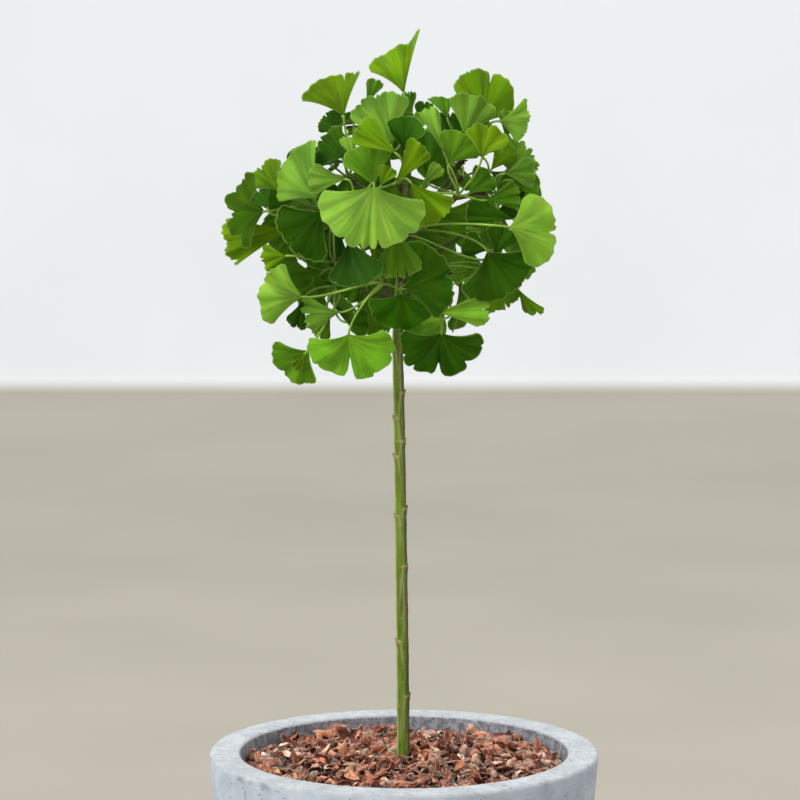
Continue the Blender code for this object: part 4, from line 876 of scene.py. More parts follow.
def concrete_material():
    """Cast concrete: a pale cloudy wall with pits and faint streaks, a worn greyer rim, a rough inside
    painted dark as shade and one hairline crack."""
    made, w = new_material("Pale concrete")
    wall, rim = look("pot").wall, look("pot").rim
    place = w.here()
    x, y, z = w.split(place)

    # The wall, with sand and stains that run down
    base, clouds = mottle(w, place, 16.0, w.shifted(wall, 0.88), w.shifted(wall, 1.10, 0.9))
    sand = w.noise(place, 750.0, 3.0)
    base = w.mix(w.step(sand, 0.35, 0.75, 0.0, 0.30), base, w.shifted(wall, 0.72))
    stains = w.noise(w.scaled(place, (26.0, 26.0, 3.5)), 1.0, 3.0)
    base = w.mix(w.step(stains, 0.55, 0.80, 0.0, 0.30), base, (0.30, 0.31, 0.33))

    # The rim, parted from the wall by an uneven height
    up = w.math("MULTIPLY_ADD", w.noise(place, 30.0, 3.0), 0.010, z)
    worn = mottle(w, place, 30.0, w.shifted(rim, 0.84), w.shifted(rim, 1.10, 0.9))[0]
    base = w.mix(w.step(up, POT_HEIGHT + 0.5 * MM, POT_HEIGHT + 3.5 * MM), base, worn)

    # Painted shade on the rough inner wall, up to a ragged edge under the rim
    inner_face = POT_RIM_RADIUS - POT_WALL
    radius = w.math("SQRT", w.math("MULTIPLY_ADD", x, x, w.times(y, y)))
    ragged = w.math("MULTIPLY_ADD", w.noise(place, 220.0, 3.0), 2.2 * MM, z)
    below_edge = w.step(ragged, POT_HEIGHT - 0.5 * MM, POT_HEIGHT - 1.5 * MM)
    shaded_inside = w.times(w.step(radius, inner_face + 3.5 * MM, inner_face + 2.2 * MM), below_edge)
    base = w.mix(shaded_inside, base, mottle(w, place, 150.0, (0.120, 0.122, 0.145), (0.33, 0.335, 0.37))[0])

    # Pits, scuffs just under the rim, and the crack
    tall = w.scaled(place, (1.0, 1.0, 0.6))
    hollow = w.math("MAXIMUM", pits(w, place, 260.0, 0.20), pits(w, tall, 95.0, 0.12))
    base = w.paint(base, hollow, 0.62, (0.13, 0.135, 0.15))
    scuffs = w.times(w.step(w.noise(place, 42.0, 4.0), 0.52, 0.66), w.step(z, 0.2900, 0.2955))
    scuffs = w.times(scuffs, w.step(z, 0.2995, 0.2975))
    base = w.paint(base, scuffs, 0.52, (0.15, 0.16, 0.18))
    wander = w.math("MULTIPLY_ADD", w.noise(place, 60.0, 3.0), 0.006, x)
    line = w.step(w.math("ABSOLUTE", w.math("ADD", wander, CRACK_LEFT)), 0.6 * MM, 0.2 * MM)
    between = w.times(w.step(z, *CRACK_TOP), w.step(z, *CRACK_FOOT))
    crack = w.times(w.times(line, w.step(y, -0.03, -0.05)), between)
    base = w.paint(base, crack, 0.55, (0.20, 0.19, 0.20))

    height = w.math("MULTIPLY_ADD", sand, 0.35, w.times(w.math("ADD", hollow, crack), -1.6))
    height = w.math("MULTIPLY_ADD", clouds, 0.25, height)
    w.surface(base, w.step(sand, 0.2, 0.8, 0.72, 0.90), w.bump(height, 0.75, 0.5 * MM))
    return made


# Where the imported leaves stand


def stem_axis(height):
    """The stem's middle at a height."""
    line = np.array(STEM_LINE_MM) * MM
    return np.array((np.interp(height, line[:, 1], line[:, 0]), 0.0, height))


def crown_place(across, up, depth):
    """A place in the crown: seen from the viewpoint it keeps its across and up at every depth."""
    flat = np.array((across * MM, 0.0, CROWN_HEIGHT + up * MM))
    return flat + (VIEWPOINT - flat) * depth * MM / abs(VIEWPOINT[1])


def branch_ends(spur, start):
    """The four corners of the curve of a branch: it leaves the stem or another branch rising and bends out
    to its spur."""
    if isinstance(start, tuple):
        parent, share = start
        line = bezier(*branch_ends(*WHORLS[parent][:2]), 3)
        place = share * (len(line) - 1)
        low = int(place)
        root = line[low] + (line[low + 1] - line[low]) * (place - low)
    else:
        root = stem_axis(CROWN_HEIGHT + start * MM)
    end = crown_place(*spur)
    reach = np.linalg.norm(end - root)
    outward = unit(end - root)
    rising = root + np.array((0, 0, 0.30 * reach)) + outward * reach * 0.15
    arriving = end - unit(outward + np.array((0, 0, 0.1))) * reach * 0.35
    return root, rising, arriving, end


def spur_line(spur, start):
    """Root and direction of the spur that goes on from the end of a branch."""
    path = bezier(*branch_ends(spur, start), 3)
    direction = unit(path[-1] - path[-2])
    return path[-1] + direction * GAP, direction


def rim_shape(blade, u):
    """Rim distance over u from -1 to 1: rounded corners, a notch in the middle, lobes and fine waves."""
    form = blade.form
    draw = random.Random(blade.seed)
    phase, wave = draw.uniform(*PHASE), draw.uniform(*PHASE)
    angle = np.radians(u * np.where(u < 0, blade.spread[0], blade.spread[1]))
    oval = 1 / np.hypot(np.cos(angle), blade.squash * np.sin(angle))
    corners = (1 - form.corner * np.abs(u) ** 5 - form.dome * u ** 2) * (1 + form.skew * u) * oval
    notch = 1 - form.notch * np.exp(-(u / NOTCH_WIDTH) ** 2)
    lobes = 1 - form.lobes * (0.5 + 0.5 * np.cos(10.5 * u + phase)) ** 2
    fine = 1 + 0.012 * np.sin(31 * u + wave)
    return corners * notch * lobes * fine


def blade_surface(blade, u, v, lift=0.0):
    """The fan as a cone: u runs across from -1 to 1 and v from the base to the rim.

    A point lies at angle u times the spread, closing in towards the base, and at distance v times the
    rim. The fan is wrapped on a cone that tilts to the upper face by the cup, bends back by the sag
    times v squared, and waves along the rim. Beyond its fold it rises in proportion to u and v. lift
    moves it square to the blade.
    """
    form = blade.form
    draw = random.Random(blade.seed + 7)
    phase, ripple = draw.uniform(*PHASE), draw.uniform(0.030, 0.050)
    side = np.cross(blade.along, blade.face)
    half = np.where(u < 0, blade.spread[0], blade.spread[1])
    angle = np.radians(u * half * (1 - BASE_NARROWING * (1 - v)))
    slope = math.radians(90 - form.cup)
    cone = math.cos(slope) * blade.along + math.sin(slope) * blade.face
    outer = math.sin(slope) * blade.along - math.cos(slope) * blade.face
    turn = (angle / math.sin(slope))[..., None]
    ray = math.cos(slope) * cone + math.sin(slope) * (np.cos(turn) * outer + np.sin(turn) * side)
    square = math.sin(slope) * cone - math.cos(slope) * (np.cos(turn) * outer + np.sin(turn) * side)
    distance = (v * rim_shape(blade, u) * blade.length)[..., None]
    waves = ripple * blade.length * (v ** 2 * np.sin(8.5 * u + phase))[..., None]
    bend = form.sag * blade.length * (v ** 2)[..., None]
    place, rise = form.fold
    past = (u - place) * math.copysign(1, place)
    folded = rise * blade.length * (v * (past + np.sqrt(past ** 2 + FOLD_SOFTNESS ** 2)) / 2)[..., None]
    return blade.base + distance * ray + (waves + folded + lift) * square - bend * blade.face


def round_depth(across, up):
    """How far the rounded head comes towards the viewer at a place, in mm."""
    share = (across ** 2 + up ** 2) / CROWN_HALF_MM ** 2
    return CROWN_DEPTH_MM * math.sqrt(max(1 - share, 0.05))


def round_outward(across, up):
    """Square to the rounded head at a place."""
    depth = round_depth(across, up)
    return unit(np.array((across, -depth * (CROWN_HALF_MM / CROWN_DEPTH_MM) ** 2, up)))


def true_angle(seen, squeeze_across, squeeze_along):
    """The fan's own angle in degrees that is seen as the given one once the blade is turned away."""
    seen = math.radians(seen)
    return math.degrees(math.atan2(math.sin(seen) / squeeze_across, math.cos(seen) / squeeze_along))


def front_blade(entry, depth_step, lean_step, seed):
    """The blade of a listed leaf, slid along the line of sight and tipped by the given steps in mm.

    The blade leans and turns part of the way with the roundness of the head, and its spread grows so
    that it is still seen as listed.
    """
    depth = entry.depth + depth_step
    wrap = CROWN_WRAP * (round_depth(*entry.tip) - round_depth(*entry.base))
    base = crown_place(*entry.base, depth)
    tip = crown_place(*entry.tip, depth + wrap + entry.lean + lean_step)
    length = np.linalg.norm(tip - base)
    along = (tip - base) / length
    sight = unit(VIEWPOINT - base)
    seen_face = unit(sight - along * sight.dot(along))
    middle = (np.array(entry.base) + np.array(entry.tip)) / 2
    wish = sight * (1 - CROWN_TURN) + round_outward(*middle) * CROWN_TURN
    face = unit(wish - along * wish.dot(along))
    squeeze = face.dot(seen_face), math.sqrt(1 - along.dot(sight) ** 2)
    spread = tuple(true_angle(seen, *squeeze) for seen in entry.spread)
    roll = math.radians(entry.roll)
    face = face * math.cos(roll) + np.cross(along, face) * math.sin(roll)
    return Blade(base, along, face, length, spread, squeeze[0] / squeeze[1], entry.form, seed)


def back_blade(root, outward, turn, draw, seed):
    """A hidden leaf: it stands out from its spur, faces out and up, and hangs a little."""
    first, second = across_pair(outward)
    fan = math.cos(turn) * first + math.sin(turn) * second
    reach = unit(outward * draw.uniform(0.5, 1.3) + fan)
    base = root + reach * draw.uniform(*HIDDEN_STALK)
    wander = np.array([draw.uniform(-0.4, 0.4) for _ in range(3)])
    face = unit(outward + np.array((0, 0, 0.5)) + wander)
    along = reach + np.array((0, 0, -0.45)) + wander * 0.6
    along = unit(along - face * along.dot(face))
    length = draw.uniform(*HIDDEN_LENGTH)
    half = draw.uniform(*HIDDEN_SPREAD)
    cup, notch, lobes, sag = (draw.uniform(*limits) for limits in HIDDEN_FORM)
    return Blade(base, along, face, length, (half, half), 1.0, Form(cup, notch, lobes, sag), seed)


def front_steps():
    """Depth and lean steps in mm, the smallest first."""
    depths = (0, 3, -3, 6, -6, 10, -10, 14, -14, 19, -19, 25, -25, 32, -32)
    leans = (0, 7, -7, 14, -14, 22, -22)
    steps = [(d, t) for d in depths for t in leans]
    return sorted(steps, key=lambda step: abs(step[0]) + 0.8 * abs(step[1]))


def petiole_ends(root, direction, blade, bow):
    """The corners of the leaf stalk's curve: it leaves the spur along its direction and runs into the blade
    along its middle."""
    reach = np.linalg.norm(blade.base - root)
    outward = unit(blade.base - root)
    first, second = across_pair(outward)
    side = bow[0] * first + bow[1] * second
    leaving = root + direction * 0.3 * reach + side
    arriving = blade.base - blade.along * 0.28 * reach + side * 0.35
    steps = 6 if outward.dot(blade.along) < 0.3 else 4
    return (root, leaving, arriving, blade.base), steps


# The ways in which a stalk may bow aside, in metres along two directions square to it, none first.
BOWS = [(0.0, 0.0)] + [
    (size * math.cos(math.radians(a)), size * math.sin(math.radians(a)))
    for size in (0.006, 0.012, 0.020)
    for a in range(0, 360, 45)
]


class PackedSpray:
    """Finds which of the trial places of a leaf is the one that a packed spray was made with. A leaf that
    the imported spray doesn't hold is left out."""

    def __init__(self, name):
        corners = frame["nodes"]["leaf_spray_" + name].data.vertices
        self.tree = KDTree(len(corners))
        for i, corner in enumerate(corners):
            self.tree.insert(corner.co, i)
        self.tree.balance()

    def holds(self, blade):
        """Whether the blade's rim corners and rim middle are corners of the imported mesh."""
        u = np.array((-1.0, 1.0, 0.0))
        rim = blade_surface(blade, u, np.ones(3), PACKED_THICKNESS / 2)
        return all(self.tree.find(point)[2] < FIT_TOLERANCE for point in rim)

    def blade(self, trials):
        """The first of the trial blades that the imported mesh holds."""
        return next((blade for blade in trials if self.holds(blade)), None)

    def stalk(self, root, direction, blade):
        """The stalk's curve whose packed rings stand round its middle line."""
        for bow in BOWS:
            ends, steps = petiole_ends(root, direction, blade, bow)
            rings = bezier(*ends, steps)[-3:-1]
            away = [hit[2] for middle in rings for hit in self.tree.find_n(middle, 3)]
            if max(abs(a - PACKED_STALK_RADIUS) for a in away) < FIT_TOLERANCE:
                return ends
        return None


def packed_leaves(name):
    """Every leaf of a packed spray as (tone, blade, stalk's curve)."""
    names = list(WHORLS)
    spray = PackedSpray(name)
    end, direction = spur_line(*WHORLS[name][:2])
    found = []
    if name in FRONT_WHORLS:
        for i, entry in enumerate(WHORLS[name][2]):
            seed = 100 * names.index(name) + i
            trials = (front_blade(entry, *step, seed) for step in front_steps())
            found.append((entry.tone, spray.blade(trials)))
    hidden = SIDE_LEAVES.get(name, 0) if name in FRONT_WHORLS else WHORLS[name][2]
    for i in range(hidden):
        number = 20 * names.index(name) + i
        draw = random.Random(number)
        outward = unit(end - CROWN_MIDDLE)
        trials = []
        for _ in range(BACK_TRIALS):
            turn = 2 * math.pi * (i + draw.uniform(-0.5, 0.5)) / hidden
            trials.append(back_blade(end + direction * SPUR_LENGTH, outward, turn, draw, 500 + number))
        found.append(("mid", spray.blade(trials)))
    root = end + direction * SPUR_LENGTH * STALK_ROOT
    kept = [(tone, blade) for tone, blade in found if blade is not None]
    return [(tone, blade, spray.stalk(root, direction, blade)) for tone, blade in kept]


# The pieces


def cuts(blade):
    """Place over u, depth and width of the few narrow cuts in a rim, the listed ones of its leaf first."""
    draw = np.random.default_rng(blade.seed + 31)
    listed = list(RIM_CUTS.get(blade.seed, ()))
    count = draw.integers(1, 4)
    return listed + list(zip(*(draw.uniform(*limits, count) for limits in CUT_LIMITS)))


def fine_rim(blade, u):
    """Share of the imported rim's distance: shallow scallops of uneven size, narrow cuts and round corners.

    The scallops are |sin| of an angle that runs unevenly over u, and each cut is a narrow bell.
    """
    draw = np.random.default_rng(blade.seed + 32)
    count = draw.uniform(7.0, 12.0)
    bent = u + 0.06 * np.sin(5.0 * u + draw.uniform(*PHASE))
    bent = bent + 0.02 * np.sin(17.0 * u + draw.uniform(*PHASE))
    depth = 0.015 + 0.011 * np.sin(4.5 * u + draw.uniform(*PHASE))
    rim = 1 - depth * (1 - np.abs(np.sin(count * bent + draw.uniform(0, 3.14)))) ** 2
    for place, deep, width in cuts(blade):
        rim = rim * (1 - deep * np.exp(-np.abs((u - place) / width) ** 1.6))
    teeth = 1 + 0.003 * np.sin(71 * u + draw.uniform(*PHASE)) * np.sin(9 * u + draw.uniform(*PHASE))
    return rim * teeth * (1 - 0.07 * np.abs(u) ** 26)


def fine_blade(blade, u, v, lift):
    """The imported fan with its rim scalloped, faint pleats and a margin that waves and curls down.

    lift is added to the pleats, of height v cubed, and to the margin's wave, of height v to the fourth.
    """
    draw = np.random.default_rng(blade.seed + 57)
    pleats = sum(
        size * blade.length * v ** 3 * np.sin(draw.uniform(*rate) * u + draw.uniform(*PHASE))
        for size, rate in PLEATS
    )
    wave = np.sin(draw.uniform(6, 11) * u + draw.uniform(*PHASE))
    margin = blade.length * v ** 4 * (0.024 * wave - 0.010)
    out = v * (1 + (fine_rim(blade, u) - 1) * v ** 4)
    return blade_surface(blade, u, out, (lift + pleats + margin)[..., None])


def add_blade(batch, tone, blade, thickness, number):
    """A closed blade: the fan's upper and lower faces, thinner at the rim, joined by a narrow wall. Its
    columns stand closer round the cuts, and its last two rows hold the pale margin."""
    places = [0.0] + [place for place, *_ in cuts(blade)]
    close = [place + side * CUT_COLUMNS for place in places for side in (-1, 1)]
    across = np.unique(np.clip(np.concatenate([np.linspace(-1, 1, LEAF_COLUMNS), *close]), -1, 1))
    share = np.linspace(0, 1, LEAF_ROWS)
    along = np.append(0.03 + 0.935 * (1 - (1 - share) ** 1.3), (0.982, 1.0))
    v, u = np.meshgrid(along, across, indexing="ij")
    half = thickness / 2 * (1 - 0.55 * v ** 4) * (1 + 1.6 * (1 - v) ** 10)
    upper = fine_blade(blade, u, v, half)
    lower = fine_blade(blade, u, v, -half)
    numbers = np.arange(u.size).reshape(u.shape)
    border = closed(np.concatenate([
        numbers[0, :-1], numbers[:-1, -1], numbers[-1, :0:-1], numbers[:0:-1, 0],
    ]))
    quads = grid_quads(*u.shape)
    faces = [quads[:, ::-1], quads + u.size, strip(border + u.size, border)[:, ::-1]]
    margin = np.maximum(v > 0.98, (np.abs(u) > 0.985) * np.clip(v * 2, 0, 1))
    reach = np.radians(np.where(u < 0, blade.spread[0], blade.spread[1])) * blade.length * 100
    place = joined(u * reach, v, number * 3.7)
    part = np.concatenate([joined(0.0, 0.0, margin), joined(1.0, 0.0, margin)])
    batch.add(
        np.concatenate([upper, lower]), faces, tone=tone, fan=np.concatenate([place, place]), part=part,
    )


def add_stalk(batch, tone, blade, ends, number):
    """The leaf stalk along its curve, a little thicker at the spur, running out as a ridge on the blade."""
    out, ridge = np.array(RIDGE_RADII_MM).T
    on_blade = blade_surface(blade, np.zeros(len(out)), out, -0.2 * MM)
    path = np.concatenate([bezier(*ends, STALK_STEPS), on_blade])
    radii = np.interp(np.linspace(0, 1, STALK_STEPS + 1), *zip(*STALK_RADII_MM))
    points, faces = tube(path, np.append(radii, ridge) * MM, 8)
    shade = np.array(STALK_TONE) * 0.75 + tone * 0.25
    value = joined(0.0, np.linspace(0, 6, len(points)), number * 1.3)
    batch.add(points, faces, tone=shade, fan=value, part=(0.0, 1.0, 0.0))


def add_spur(batch, end, direction, draw):
    """A short shoot: a knobbly tube ringed by old scars, with pointed scales spread round its tip."""
    sides = 12
    sunk = 1.5 * MM
    share = np.linspace(0, 1, 15)
    path = end - direction * sunk + share[:, None] * direction * (SPUR_LENGTH + sunk)
    swell = 0.78 + 0.14 * np.abs(np.sin(share * 15)) - 0.25 * share ** 4
    points, faces = tube(path, SPUR_RADIUS * swell, sides)
    out = np.append(np.repeat(share, sides), (0.0, 1.0))
    batch.add(points, faces, finish=1, part=joined(0.0, out, 0.0))
    first, second = across_pair(direction)
    for k in range(SPUR_SCALES):
        turn = 2 * math.pi * k / SPUR_SCALES + draw.uniform(-0.25, 0.25)
        away = math.cos(turn) * first + math.sin(turn) * second
        root = end + direction * SPUR_LENGTH * draw.uniform(0.45, 0.95) + away * SPUR_RADIUS * 0.50
        length = draw.uniform(2.6, 4.4) * MM
        tip = root + unit(away * draw.uniform(0.4, 1.1) + direction) * length
        middle = (root + tip) / 2 + away * length * 0.18
        points, faces = tube(bezier(root, middle, middle, tip, 5), SCALE_RADII_MM * MM, 6)
        out = np.append(np.repeat(np.linspace(0, 1, 6), 6), (0.0, 1.0))
        batch.add(points, faces, finish=1, part=joined(1.0, out, 0.0))


def make_spray(name, materials):
    """One whorl: its spur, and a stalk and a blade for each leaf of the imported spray."""
    node = "leaf_spray_" + name
    slot = next(part["material_slot"] for part in frame["record"]["subparts"] if part["node"] == node)
    batch = Batch("tone", "fan", "part")
    index = list(WHORLS).index(name)
    draw = random.Random(index)
    for i, (tone, blade, ends) in enumerate(packed_leaves(name)):
        shade = np.array(LEAF_LIT_TONES[tone]) * LEAF_PAINTED_LIGHT.get(blade.seed, 1.0) * draw.uniform(0.92, 1.08)
        add_blade(batch, shade, blade, look("leaf").thickness, 10 * index + i)
        if ends is not None:
            add_stalk(batch, shade, blade, ends, 10 * index + i)
    add_spur(batch, *spur_line(*WHORLS[name][:2]), draw)
    batch.build("spray_" + name, slot, node, materials[slot], materials["spur"])


def stem_radius(height):
    """The stem tapers from its seat in the soil to the neck under the crown, and on to its top."""
    heights = (STEM_FOOT, MULCH_EDGE_HEIGHT, CROWN_HEIGHT - 0.1, CROWN_HEIGHT + 0.07)
    radii = (STEM_SEAT_RADIUS, STEM_SEAT_RADIUS, STEM_NECK_RADIUS, STEM_TOP_RADIUS)
    return np.interp(height, heights, radii)


def scar_turns():
    """The side of the stem on which each knot has its bud, as an angle about Z."""
    number = np.arange(len(STEM_KNOTS_MM))
    side = np.radians(180 * (number % 2) + 25 * np.sin(2.4 * number))
    return np.arctan2(-np.abs(np.sin(side)), np.cos(side))


def near_knots(height, turn, above, below, width, forward=0.0, drift=0.0):
    """Nearness to the knots on a grid of heights and angles: a bell of the height, wider below the knot
    than above it, times a bell of the angle.

    The angle is counted from the bud's side, moved forward by a share of the way to the front, and it
    drifts with the distance below the knot.
    """
    found = np.zeros(np.broadcast_shapes(height.shape, turn.shape))
    front = -math.pi / 2
    for knot, side in zip(STEM_KNOTS_MM, scar_turns()):
        to_front = math.atan2(math.sin(front - side), math.cos(front - side))
        away = height - knot * MM
        place = side + forward * to_front + math.copysign(drift, to_front) * np.maximum(-away, 0)
        off = np.arctan2(np.sin(turn - place), np.cos(turn - place))
        bell = np.exp(-(away / np.where(away > 0, above, below)) ** 2 - (off / width) ** 2)
        found = np.maximum(found, bell)
    return found


def add_wood(batch, path, radii, sides, part, number):
    """A tube of bark with its grain: the way out along Y and X, cm along and a number."""
    points, faces = tube(path, radii, sides)
    steps = np.linalg.norm(np.diff(path, axis=0), axis=1)
    along = np.repeat(np.append(0, np.cumsum(steps)) * 100, sides)
    out = unit(points[:-2] - np.repeat(path, sides, axis=0))
    grain = joined(out[:, 1], along, out[:, 0] + number)
    batch.add(points, faces, grain=np.concatenate([grain, grain[[0, -1]]]), part=part)


def add_stem(batch):
    """The stem: circles round its middle line, whose radius tapers, wanders by a few hundredths and
    swells on one side at each knot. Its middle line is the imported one, smoothed by the mean of five places
    8 mm apart."""
    heights = np.linspace(STEM_FOOT, STEM_TOP_HEIGHT, STEM_ROWS)
    line = np.array(STEM_LINE_MM) * MM
    places = [np.interp(heights + step * MM, line[:, 1], line[:, 0]) for step in STEM_SMOOTHING_MM]
    across = np.mean(places, axis=0)
    height = heights[:, None]
    turn = np.arange(STEM_SIDES)[None, :] * 2 * math.pi / STEM_SIDES
    swell = STEM_KNOT_SWELL * near_knots(height, turn, *KNOT_SWELLING)
    scar = near_knots(height, turn, *KNOT_SCAR)
    ridge = near_knots(height, turn, *KNOT_RIDGE)
    wander = 0.020 * np.sin(height * 150 + 2 * turn) + 0.012 * np.sin(height * 410 + 1)
    radius = stem_radius(height) * (0.95 + swell + 0.06 * scar + 0.03 * ridge + wander)
    points = joined(across[:, None] + radius * np.cos(turn), radius * np.sin(turn), height).reshape(-1, 3)
    middles = joined(across, 0.0, heights)[[0, -1]]
    grain = joined(np.sin(turn), height * 100, np.cos(turn)).reshape(-1, 3)
    marks = {
        name: joined(np.append(mark.ravel(), (0.0, 0.0)), 0.0, 0.0)
        for name, mark in (("part", scar), ("ridge", ridge))
    }
    batch.add(
        np.concatenate([points, middles]), tube_faces(STEM_ROWS, STEM_SIDES),
        grain=np.concatenate([grain, grain[[0, -1]]]), **marks,
    )


def make_stem():
    """The stem, its small buds and its branches, which taper and wander along their curves."""
    batch = Batch("grain", "part", "ridge")
    add_stem(batch)
    for i, (knot, turn) in enumerate(zip(STEM_KNOTS_MM, scar_turns())):
        out = np.array((math.cos(turn), math.sin(turn), 0.0))
        root = stem_axis(knot * MM) + out * stem_radius(knot * MM) * 0.80
        tip = root + out * 0.42 * BUD_LENGTH + np.array((0, 0, 0.6 * BUD_LENGTH))
        path = root + np.linspace(0, 1, len(BUD_RADII_MM))[:, None] * (tip - root)
        add_wood(batch, path, BUD_RADII_MM * MM, 10, (0.4, 0.0, 1.0), i)
    for i, (spur, start, *_) in enumerate(WHORLS.values()):
        path = bezier(*branch_ends(spur, start), BRANCH_STEPS)
        root = TWIG_RADIUS * 1.1 if isinstance(start, tuple) else BRANCH_RADIUS
        share = np.linspace(0, 1, len(path))
        radii = (root + (TWIG_RADIUS - root) * share) * (0.82 + 0.07 * np.sin(share * 26 + i))
        add_wood(batch, path, radii, 12, (0.0, 1.0, 0.0), i + 1.0)
    batch.build("stem_and_branches", "bark", "trunk", bark_material())


def pot_outside(height):
    """The outer wall's radius, which grows evenly with the height."""
    return POT_FOOT_RADIUS + (POT_RIM_RADIUS - POT_FOOT_RADIUS) * height / POT_HEIGHT


def quarter(centre, radius, start, turn, steps):
    """Points of a quarter round from angle start, both angles in degrees."""
    angles = np.radians(start + turn * np.arange(steps + 1) / steps)
    return joined(centre[0] + radius * np.cos(angles), centre[1] + radius * np.sin(angles))


def straight(a, b, spacing):
    """Points strictly between two ends of a line, about a spacing apart."""
    steps = max(int(math.dist(a, b) / spacing), 1)
    share = np.arange(1, steps)[:, None] / steps
    return np.array(a) + share * (np.array(b) - np.array(a))


def make_pot():
    """The cast pot: its profile turned about Z, dented inwards by a slow wave of angle and height."""
    edge = POT_EDGE_ROUND
    rim = POT_HEIGHT - edge
    foot = POT_FOOT_ROUND
    outer_foot = quarter((POT_FOOT_RADIUS - foot, foot), foot, -90, 90, 4)
    outer_rim = quarter((pot_outside(rim) - edge, rim), edge, 0, 90, 6)
    inner_rim = quarter((pot_outside(rim) - POT_WALL + edge, rim), edge, 90, 90, 6)
    inner_floor = (pot_outside(POT_FLOOR) - POT_WALL, POT_FLOOR)
    profile = np.concatenate([
        [(DRAIN_RADIUS, 0.0)], straight((DRAIN_RADIUS, 0.0), outer_foot[0], POT_FLAT_ROW), outer_foot,
        straight(outer_foot[-1], outer_rim[0], POT_ROW), outer_rim,
        straight(outer_rim[-1], inner_rim[0], POT_ROW), inner_rim,
        straight(inner_rim[-1], inner_floor, POT_ROW * 4), [inner_floor],
        straight(inner_floor, (DRAIN_RADIUS, POT_FLOOR), POT_FLAT_ROW), [(DRAIN_RADIUS, POT_FLOOR)],
    ])
    angle = np.arange(POT_COLUMNS) * 2 * math.pi / POT_COLUMNS
    radius, height = profile.T
    height, angle = np.meshgrid(height, angle, indexing="ij")
    radius = np.broadcast_to(radius[:, None], angle.shape)
    wave = sum(np.sin(around * angle + up * height) for around, up in DENT_WAVES)
    outside = radius > POT_FOOT_RADIUS - 2 * foot
    dent = look("pot").unevenness * (0.5 + wave / 6) * outside
    chips = np.prod([np.sin(around * angle + phase) for around, phase in CHIP_WAVES], axis=0)
    near_edge = np.exp(-((height - POT_HEIGHT + 1 * MM) / CHIP_REACH) ** 2)
    dent = dent + CHIP_DEPTH * near_edge * np.maximum(chips, 0)
    sink = dent * 0.8 * (height > rim)
    points = joined((radius - dent) * np.cos(angle), (radius - dent) * np.sin(angle), height - sink)
    rows = len(profile)
    first = np.arange(POT_COLUMNS)
    last = first + (rows - 1) * POT_COLUMNS
    batch = Batch()
    batch.add(points, [grid_quads(rows, POT_COLUMNS, True), strip(closed(last), closed(first))])
    batch.build("cast_pot", "concrete", "pot", concrete_material())


def mulch_dome(x, y):
    """Height of the bed of shells: highest in the middle and falling with the radius squared."""
    edge = pot_outside(MULCH_UNDERSIDE) - POT_WALL
    return MULCH_EDGE_HEIGHT + MULCH_DOME * (1 - (x * x + y * y) / edge ** 2)


def turned_by(points, yaw, tilt, roll):
    """Points (shell, point, axis) of each shell rolled about X, tilted about Y and turned about Z."""
    for angle, a, b in ((roll, 1, 2), (tilt, 2, 0), (yaw, 0, 1)):
        c, s = np.cos(angle)[:, None], np.sin(angle)[:, None]
        first, second = points[..., a].copy(), points[..., b].copy()
        points[..., a] = c * first - s * second
        points[..., b] = s * first + c * second
    return points


# The kinds of shell: the share of all that are one, their length and width against a middling shell's,
# how hollow, full and ragged they are, and their tones. First come long halves, then small flat bits,
# then beans.
ShellKind = namedtuple("ShellKind", "share length width hollow fullness ragged tones")
SHELL_KINDS = (
    ShellKind(
        0.57, 1.00, 0.46, 1.10, 0.00, 0.34,
        ((0.28, 0.086, 0.044), (0.50, 0.196, 0.104), (0.100, 0.022, 0.011), (0.38, 0.122, 0.064)),
    ),
    ShellKind(
        0.29, 0.70, 0.60, 0.85, 0.00, 0.45,
        ((0.82, 0.56, 0.39), (0.58, 0.28, 0.150), (0.17, 0.050, 0.028), (0.62, 0.40, 0.31)),
    ),
    ShellKind(
        0.14, 0.66, 0.62, 0.00, 0.28, 0.05,
        ((0.26, 0.145, 0.108), (0.31, 0.19, 0.115), (0.13, 0.048, 0.030), (0.31, 0.18, 0.145)),
    ),
)


